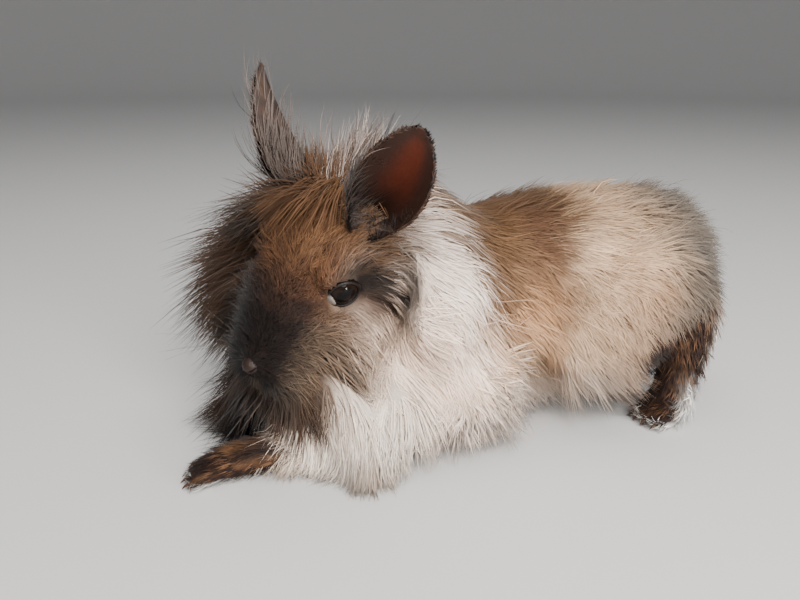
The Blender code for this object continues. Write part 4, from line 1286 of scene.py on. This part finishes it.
def make_ear(side):
    """One ear with its short fur, its fringe and the long hair at its root."""
    points, faces, facts = ear_sheet(side)
    inner, edge, high, wide = facts.T
    fine = ripple(points, 7, 8)
    base = plain_colour("sepia", len(points), 0.8)
    base = mix(base, "umber", 0.55 * ramp(-0.2, 0.9, fine))
    base = mix(base, "smoke", 0.15 * ramp(0.1, 0.7, high))
    cup = plain_colour("russet", len(points))
    cup = mix(cup, "sepia", 0.85 * ramp(0.3, 0.75, edge))
    cup = mix(cup, "sepia", 0.9 * ramp(0.15, -0.4, wide * SIDES[side]))
    cup = mix(cup, "sepia", 0.9 * ramp(0.45, 0.15, high))
    cup = mix(cup, "sepia", 0.8 * ramp(0.65, 0.9, high))
    colour = base + (cup - base) * inner[:, None]
    colour = mix(colour, "umber", 0.6 * ramp(0.93, 1.0, edge))
    ear = make_object("ear_" + side + "_shell", points, faces, colour, material=EAR_FINISH)

    draw = np.random.default_rng(SEED + 50 + (side == "left"))
    normals = point_normals(points, faces)
    patches = np.stack([0.02 + 0.46 * (wide + 1) / 2 + 0.5 * inner, 0.02 + 0.96 * high], 1)
    _, along, mouth, across = ear_frame(side)
    trail = wide * (1 if side == "right" else -1)
    fur = []
    jobs = [
        ("back", (1 - inner) * ramp(0.0, 0.06, high), 2200, 4.5, 0.5, "ear"),
        ("cup", inner * ramp(0.5, 0.95, edge) + 0.12 * inner, 900, 3.4, 0.4, "ear"),
        ("rim", ramp(0.94, 1.0, edge) * ramp(0.0, 0.1, high), 700, 2.6, 0.4, "ear"),
        ("root", inner * ramp(0.35, 0.8, edge) * ramp(0.42, 0.1, high), 420, 12, 0.4, "wisp"),
        ("wisps", (1 - inner) * ramp(0.75, 0.1, high) * ramp(-0.1, 0.6, trail), 320, 26, 0.38, "wisp"),
    ]
    for job, share, count, long, wide_tuft, kind in jobs:
        count = count
        roots, out, picked = scatter(points, faces, normals, share, count, draw)
        near = faces[picked][:, 0]
        toward_tip = np.tile(along, (count, 1))
        start = along_surface(toward_tip + across * wide[near][:, None] * 0.3, out, 0.3)
        end = along_surface(toward_tip + across * wide[near][:, None] * 0.3, out, 0.02)
        if job == "cup":
            start = along_surface(toward_tip - out * 0.1, out, 0.35)
        if job == "rim":
            start = unit(along * 0.8 + across * np.sign(wide[near])[:, None] * 0.7 + out * 0.2)
            end = unit(along + across * np.sign(wide[near])[:, None] * 0.3)
        if job == "root":
            start = unit(mouth * 0.35 + along * 0.9 + draw.normal(0, 0.15, (count, 3)))
            end = unit(mouth * 0.1 + along - across * np.sign(wide[near])[:, None] * 0.3)
        if job == "wisps":
            start = unit(toward_tip * 0.8 + out * 0.6)
            end = unit(toward_tip * 0.7 + out * 0.1 + np.array([0, 0.35, 0.1]))
        tone = colour[near]
        if job in ("root", "wisps"):
            tone = tone * 0.5 + (shade("smoke") * 0.5 if job == "wisps" else shade("umber") * 0.25)
        length = np.full(count, float(long)) * (1 - 0.4 * high[near])
        width = np.full(count, wide_tuft) * 1
        fur.append(tufts(roots, out, start, end, length, width, tone, patches[near], draw, STYLE[kind]))
    hair = merge_tufts(fur)
    coat = make_coat("coat_ear_" + side, hair)
    return [(ear, "sable"), (coat, "sable")]


def merge_tufts(groups):
    """Several lots of tufts as one."""
    points, faces = joined([(group[0], group[1]) for group in groups])
    return (points, faces, *(np.vstack([group[k] for group in groups]) for k in (2, 3, 4)))


def make_crown(skin, weight, field):
    """The long wisps between the ears and a few stray hairs that stand off the mane."""
    points, faces, normals = skin
    f, l, u = in_head(points).T
    draw = np.random.default_rng(SEED + 60)
    skull = share_of(weight, "skull")
    share = ramp(-12, -24, f) * ramp(18, 9, np.abs(l - 1)) * ramp(8, 18, u)
    share = share * (skull > 0.2) * (1 - in_ear(points))
    count = 900
    roots, out, picked = scatter(points, faces, normals, share, count, draw)
    near = faces[picked][:, 0]
    lean = in_head(roots)[:, 1:2] / 30
    start = unit(np.array([-0.35, 0, 1.0]) @ HEAD.T + lean * LEFT + draw.normal(0, 0.16, (count, 3)))
    end = unit(np.array([-0.9, 0.0, 0.35]) @ HEAD.T + lean * LEFT + draw.normal(0, 0.2, (count, 3)))
    tone = np.tile(shade("umber") * 0.6 + shade("smoke") * 0.3, (count, 1))
    tone = mix(tone, "lilac", 0.7 * draw.random(count) ** 3)
    length = 24 + 12 * draw.random(count) ** 2
    _, patches, _ = weigh_regions(roots)
    fur = [tufts(roots, out, start, end, length, np.full(count, 0.45), tone, patches, draw, STYLE["wisp"])]

    mane = weight[:, [REGIONS.index(name) for name in ("ruff", "cape", "bib", "torso")]].sum(1)
    count = 1000
    off_face = np.maximum(ramp(-8, -22, f), ramp(-36, -48, u))
    share = mane * ramp(-0.4, 0, normals[:, 2]) * off_face * in_the_open(points, normals, field)
    roots, out, picked = scatter(points, faces, normals, share, count, draw)
    near = faces[picked][:, 0]
    start, end, length, _, lift = lie_of_coat(roots, out, weight[near])
    start, end = unit(start + out * 0.35), unit(end + draw.normal(0, 0.22, (count, 3)))
    tone = np.minimum(markings(roots, weight[near]) * 1.25, 0.95)
    _, patches, _ = weigh_regions(roots)
    thin = np.full(count, 0.4)
    fur.append(
        tufts(
            roots, out, start, end, length * 1.12, thin, tone, patches, draw, STYLE["wisp"], field, lift * 1.5
        )
    )
    return make_coat("coat_wisps", merge_tufts(fur)), "cream"


# Eyes, nose, mouth, claws and whiskers


def make_eye(side):
    """A ball with a slightly raised cornea: radius x (1 + a small bell curve of the angle from its axis)."""
    rows, around = 40, 48
    axes = lid_axes(side)
    high = np.linspace(0.002, np.pi - 0.002, rows)
    a = np.arange(around) * 2 * np.pi / around
    radius = (EYE_RADIUS - 0.15) * (1 + 0.035 * np.exp(-((high / 0.75) ** 2)))
    ball = np.stack(
        [np.sin(high)[:, None] * np.cos(a), np.cos(high)[:, None] + 0 * a, np.sin(high)[:, None] * np.sin(a)],
        -1,
    )
    rings = (ball * radius[:, None, None]) @ axes.T + eye_place(side)
    points, faces = closed_tube(rings)
    angle = np.degrees(np.append(np.repeat(high, around), [0, np.pi]))
    colour = np.tile(np.array([0.004, 0.003, 0.003]), (len(points), 1))
    iris = np.array([0.012, 0.007, 0.005])
    colour = colour + (iris - colour) * (ramp(30, 36, angle) * ramp(62, 54, angle))[:, None]
    colour = mix(colour, "lilac", 0.28 * ramp(66, 72, angle))
    return make_object("eye_" + side + "_globe", points, faces, colour, material=EYE_FINISH)


def make_lids(side, steps=72, around=10):
    """A ring of skin round an eye: an oval path on a ball a little wider than the eye, with an oval
    section."""
    axes = lid_axes(side)
    s = np.arange(steps) * 2 * np.pi / steps
    long = LID_OPENING[0] * np.cos(s)
    high = LID_OPENING[1] * np.sin(s) * (1 - 0.12 * np.abs(np.cos(s)) ** 3)
    ball = EYE_RADIUS + 0.35
    out = np.sqrt(ball**2 - long**2 - high**2)
    path = np.stack([long, out, high], 1)
    normal = unit(path)
    ahead = unit(np.roll(path, -1, 0) - np.roll(path, 1, 0))
    across = np.cross(ahead, normal)
    a = np.arange(around) * 2 * np.pi / around
    corner = np.cos(s + 0.45)
    wide = 0.8 + 1.8 * ramp(0.8, 0.99, corner)[:, None, None]
    ring = path[:, None] + normal[:, None] * (0.7 * np.cos(a))[:, None]
    ring = ring + across[:, None] * np.sin(a)[:, None] * wide
    points = (ring.reshape(-1, 3) @ axes.T) + eye_place(side)
    number = np.arange(steps * around).reshape(steps, around)
    number = np.vstack([number, number[:1]])
    number = np.hstack([number, number[:, :1]])
    b, c, d, e = number[:-1, :-1], number[:-1, 1:], number[1:, 1:], number[1:, :-1]
    faces = np.concatenate([np.stack([b, c, d], -1).reshape(-1, 3), np.stack([b, d, e], -1).reshape(-1, 3)])
    faces = outward(points, faces)
    turn = np.repeat(s, around)
    colour = plain_colour("ink", len(points), 2)
    rear = ramp(0.1, -0.5, np.cos(turn)) * ramp(0.75, 0.2, np.sin(turn))
    below = ramp(-0.2, -0.8, np.sin(turn))
    inner = np.tile(ramp(0.2, 0.9, -np.sin(a)) * ramp(-0.3, 0.3, np.cos(a)), steps)
    colour = mix(colour, "lilac", np.maximum(rear, below) * inner * 0.5)
    colour = mix(colour, "lilac", 0.24 * ramp(0.84, 0.97, np.repeat(corner, around)))
    return make_object("lids_" + side, points, faces, colour, material=LID_FINISH)


def make_nose():
    """An egg pushed in along a cleft and two slanting nostrils, each as a bell curve of the distance
    from its line."""
    points, faces = egg((0, 0, 0), (4.3, 4.4, 3.6), rows=60, around=72)
    f, l, u = points.T
    side = np.abs(l)
    slant = np.array([0.84, 0.54])
    rel = np.stack([side - 2.9, u - 0.4], 1)
    along = rel @ slant
    off = rel @ np.array([-0.54, 0.84])
    nostril = np.exp(-((off / 0.42) ** 2)) * np.exp(-((along / 1.7) ** 4))
    cleft = np.exp(-((l / 0.3) ** 2)) * ramp(0.8, -0.4, u)
    front = ramp(0.3, 1.5, f)
    points = points - np.stack([(1.5 * nostril + 0.8 * cleft) * front, 0 * l, 0 * l], 1)
    colour = plain_colour("sepia", len(points), 0.8)
    # Painted shade: the pushed-in nostrils and cleft are darkened to ink.
    colour = mix(colour, "ink", np.maximum(nostril, cleft) * front)
    return make_object("nose", points @ HEAD.T + on_head(NOSE_AT), faces, colour, material=LID_FINISH)


def tube(path, radii, around=6):
    """Circles of these radii carried along a path, each square to it."""
    path = np.asarray(path, float)
    ahead = unit(np.gradient(path, axis=0))
    side = unit(np.cross(ahead, (0.13, 0.21, 0.97)))
    up = np.cross(side, ahead)
    a = np.arange(around) * 2 * np.pi / around
    radii = np.asarray(radii)[:, None, None]
    rings = path[:, None] + radii * (side[:, None] * np.cos(a)[:, None] + up[:, None] * np.sin(a)[:, None])
    return closed_tube(rings)


def curve(places, count):
    """Points on a smooth curve through some places."""
    return read_rows(places, np.linspace(0, 1, count))


def make_mouth():
    """The cleft of the lip and the line of the mouth, as thin dark tubes sunk half way in; their dark is
    painted shade in these creases.
    """
    pieces = []
    cleft = [(56.6, 0, -17.5), (55.6, 0, -20), (54.0, 0, -23), (52.0, 0, -25.4)]
    pieces.append(tube(on_head(curve(cleft, 16)), np.full(16, 0.45)))
    for sign in (1, -1):
        line = [
            (52.4, 0.4 * sign, -25.2),
            (51, 4 * sign, -26.6),
            (47, 8 * sign, -27.2),
            (41, 11.2 * sign, -28),
        ]
        pieces.append(tube(on_head(curve(line, 24)), np.linspace(0.55, 0.3, 24)))
    points, faces = joined(pieces)
    # Painted shade: the creases of the lip and the mouth are ink.
    return make_object("mouth", points, faces, plain_colour("ink", len(points)), material=LID_FINISH)


def make_claws():
    """Short bent cones at the toes: a circle that shrinks along a path curving down."""
    pieces = []
    for places, radii in all_toes():
        for place in places:
            t = np.linspace(0, 1, 9)[:, None]
            path = place - BACK * (radii[1] - 1.2 + 4.6 * t) + DOWN * (0.2 + 2.3 * t**2)
            path[:, 2] = np.maximum(path[:, 2], 0.75)
            pieces.append(tube(path, 1.05 * (1 - t[:, 0]) ** 0.7 + 0.06, around=8))
    points, faces = joined(pieces)
    return make_object("claws", points, faces, plain_colour("umber", len(points), 0.7), material=LID_FINISH)


def make_whiskers():
    """Fine tapering tubes that leave the whisker pads outwards and droop as the square of the way along."""
    draw = np.random.default_rng(SEED + 70)
    pieces = []
    for sign in (1, -1):
        for _ in range(10):
            root = on_head((draw.uniform(37, 49), sign * draw.uniform(9.5, 12.5), draw.uniform(-24, -14)))
            aim = unit(HEAD @ np.array([draw.uniform(-0.15, 0.45), sign, draw.uniform(-0.25, 0.35)]))
            length = draw.uniform(32, 54)
            t = np.linspace(0, 1, 12)[:, None]
            path = root + aim * length * t + np.array([0, 0, -1]) * length * draw.uniform(0.08, 0.3) * t**2
            path[:, 2] = np.maximum(path[:, 2], 1.0)
            pieces.append(tube(path, np.linspace(0.09, 0.03, 12), around=4))
    points, faces = joined(pieces)
    return make_object("whiskers", points, faces, plain_colour("ash", len(points)), material=WHISKER_FINISH)


# Finishes


def fleck_group():
    """Colour x (1 + amount x noise) with a fine noise, and a matching height for bumps."""
    group = bpy.data.node_groups.new("fleck", "ShaderNodeTree")
    face = group.interface
    face.new_socket("Color", in_out="INPUT", socket_type="NodeSocketColor")
    for name, value in (("Scale", 600.0), ("Amount", 0.2), ("Roughness", 0.6), ("Spread", 0.1)):
        face.new_socket(name, in_out="INPUT", socket_type="NodeSocketFloat").default_value = value
    face.new_socket("Color", in_out="OUTPUT", socket_type="NodeSocketColor")
    face.new_socket("Roughness", in_out="OUTPUT", socket_type="NodeSocketFloat")
    face.new_socket("Height", in_out="OUTPUT", socket_type="NodeSocketFloat")
    nodes, links = group.nodes, group.links
    came = nodes.new("NodeGroupInput")
    goes = nodes.new("NodeGroupOutput")
    place = nodes.new("ShaderNodeTexCoord")
    noise = nodes.new("ShaderNodeTexNoise")
    noise.inputs["Detail"].default_value = 3
    links.new(place.outputs["Object"], noise.inputs["Vector"])
    links.new(came.outputs["Scale"], noise.inputs["Scale"])
    centred = nodes.new("ShaderNodeMath")
    centred.operation = "SUBTRACT"
    centred.inputs[1].default_value = 0.5
    links.new(noise.outputs["Fac"], centred.inputs[0])
    lift = nodes.new("ShaderNodeMath")
    lift.operation = "MULTIPLY_ADD"
    lift.inputs[2].default_value = 1.0
    links.new(centred.outputs[0], lift.inputs[0])
    links.new(came.outputs["Amount"], lift.inputs[1])
    scaled = nodes.new("ShaderNodeVectorMath")
    scaled.operation = "SCALE"
    links.new(came.outputs["Color"], scaled.inputs[0])
    links.new(lift.outputs[0], scaled.inputs["Scale"])
    rough = nodes.new("ShaderNodeMath")
    rough.operation = "MULTIPLY_ADD"
    links.new(centred.outputs[0], rough.inputs[0])
    links.new(came.outputs["Spread"], rough.inputs[1])
    links.new(came.outputs["Roughness"], rough.inputs[2])
    links.new(scaled.outputs[0], goes.inputs["Color"])
    links.new(rough.outputs[0], goes.inputs["Roughness"])
    links.new(noise.outputs["Fac"], goes.inputs["Height"])
    return group


FLECK = fleck_group()


def finish(name, scale, amount, roughness, spread, bump=0.0, specular=0.4, sheen=0.0):
    """A material whose colour is the coat attribute, flecked, with a bump of the same fine noise."""
    made = bpy.data.materials.new(name)
    made.use_nodes = True
    nodes, links = made.node_tree.nodes, made.node_tree.links
    shader = nodes["Principled BSDF"]
    colour = nodes.new("ShaderNodeAttribute")
    colour.attribute_name = "coat"
    fleck = nodes.new("ShaderNodeGroup")
    fleck.node_tree = FLECK
    for socket, value in (("Scale", scale), ("Amount", amount), ("Roughness", roughness), ("Spread", spread)):
        fleck.inputs[socket].default_value = value
    links.new(colour.outputs["Color"], fleck.inputs["Color"])
    links.new(fleck.outputs["Color"], shader.inputs["Base Color"])
    links.new(fleck.outputs["Roughness"], shader.inputs["Roughness"])
    shader.inputs["Specular IOR Level"].default_value = specular
    shader.inputs["Sheen Weight"].default_value = sheen
    shader.inputs["Sheen Roughness"].default_value = 0.5
    if bump:
        raised = nodes.new("ShaderNodeBump")
        raised.inputs["Strength"].default_value = bump
        raised.inputs["Distance"].default_value = 0.0006
        links.new(fleck.outputs["Height"], raised.inputs["Height"])
        links.new(raised.outputs["Normal"], shader.inputs["Normal"])
    return made


COAT_FINISH = finish("soft fur", 900, 0.25, 0.7, 0.15, specular=0.18, sheen=0.06)
SKIN_FINISH = finish("skin under fur", 1400, 0.5, 0.8, 0.1, bump=0.6, specular=0.2)
EAR_FINISH = finish("ear skin", 700, 0.3, 0.7, 0.15, bump=0.3, specular=0.15)
LID_FINISH = finish("bare skin", 1500, 0.25, 0.5, 0.12, bump=0.3, specular=0.3)
EYE_FINISH = finish("dark glossy eye", 900, 0.15, 0.07, 0.02, specular=0.1)
WHISKER_FINISH = finish("whisker", 300, 0.1, 0.4, 0.05, specular=0.4)


# The rabbit


def build():
    points, faces, normals = make_skin()
    skin = (points, faces, normals)
    field = Field(points, normals)
    coats, weight = grow_coats(skin, field)
    # Painted shade: the skin takes the coat's colours at 0.65, darker deep in the coat between the tufts.
    hide = make_object("skin", points, faces, markings(points, weight) * 0.65, material=SKIN_FINISH)
    flesh = [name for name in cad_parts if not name.startswith(("eye_", "ear_"))]
    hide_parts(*flesh)
    pieces = [(hide, "fawn"), *coats, make_crown(skin, weight, field)]
    for side in SIDES:
        ear = make_ear(side)
        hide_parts("ear_" + side)
        globe = make_eye(side)
        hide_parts("eye_" + side)
        pieces += [*ear, (globe, "eye"), (make_lids(side), "sable")]
    pieces += [(make_nose(), "sable"), (make_mouth(), "sable")]
    pieces += [(make_claws(), "sable"), (make_whiskers(), "cream")]
    for piece, slot in pieces:
        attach(piece, "root")


build()


# Studio


def plain(name, colour, roughness):
    made = bpy.data.materials.new(name)
    made.use_nodes = True
    shader = made.node_tree.nodes["Principled BSDF"]
    shader.inputs["Base Color"].default_value = (*colour, 1)
    shader.inputs["Roughness"].default_value = roughness
    return made


def make_floor():
    """A pale bowl: a flat disc whose edge curves up, turned round the vertical."""
    bend = np.linspace(0, math.pi / 2, 16)
    radius = np.concatenate([np.linspace(0.001, 3, 24), 3 + 1.5 * np.sin(bend[1:]), [4.5]])
    height = np.concatenate([np.zeros(24), 1.5 - 1.5 * np.cos(bend[1:]), [3.5]])
    a = np.arange(96) * 2 * np.pi / 96
    points = np.stack([radius[:, None] * np.cos(a), radius[:, None] * np.sin(a), height[:, None] + 0 * a], -1)
    points = (points.reshape(-1, 3) - SHIFT) / MM
    floor = make_object("floor", points, grid_faces(len(radius), 96, wrap=True)[:, ::-1])
    floor.data.materials.append(plain("pale floor", (0.62, 0.61, 0.60), 0.7))


def make_light(name, place, aim, size, power, colour):
    """A lamp with a flat rectangular face turned towards a place."""
    data = bpy.data.lights.new(name, "AREA")
    data.shape = "RECTANGLE"
    data.size, data.size_y = size
    data.energy = power
    data.color = colour
    lamp = bpy.data.objects.new(name, data)
    lamp.location = place
    toward = unit(np.array(aim) - np.array(place))
    flat = math.hypot(toward[0], toward[1])
    lamp.rotation_euler = (math.atan2(flat, -toward[2]), 0, math.atan2(-toward[0], toward[1]))
    bpy.context.scene.collection.objects.link(lamp)


make_floor()
# Each lamp: its place, the place it is aimed at, its sides, its power and its colour.
LAMPS = {
    "window": ((1.05, 0.08, 0.8), (0, -0.02, 0.06), (0.6, 0.8), 20, (1.0, 0.98, 0.95)),
    "front": ((0.75, -0.35, 0.95), (0, -0.05, 0.06), (0.32, 0.32), 11, (1.0, 0.98, 0.95)),
    "glint": ((0.62, 0.15, 0.11), (0.03, -0.08, 0.1), (0.09, 0.09), 2.6, (1, 1, 1)),
    "above": ((-0.1, 0.1, 1.4), (0, 0, 0), (1.0, 1.0), 7, (1, 1, 1)),
}
for lamp_name, lamp_row in LAMPS.items():
    make_light(lamp_name, *lamp_row)
world = bpy.data.worlds.new("studio")
world.use_nodes = True
world.node_tree.nodes["Background"].inputs["Color"].default_value = (0.9, 0.92, 0.95, 1)
world.node_tree.nodes["Background"].inputs["Strength"].default_value = 0.33
bpy.context.scene.world = world

camera = bpy.data.objects.new("camera", bpy.data.cameras.new("camera"))
camera.location = np.array([324.5, -154.5, 185.0]) * MM + SHIFT
camera.rotation_euler = (math.radians(71), 0, math.radians(70))
camera.data.sensor_width = 36
camera.data.lens = 32.49
camera.data.clip_start = 0.01
bpy.context.scene.collection.objects.link(camera)
bpy.context.scene.camera = camera
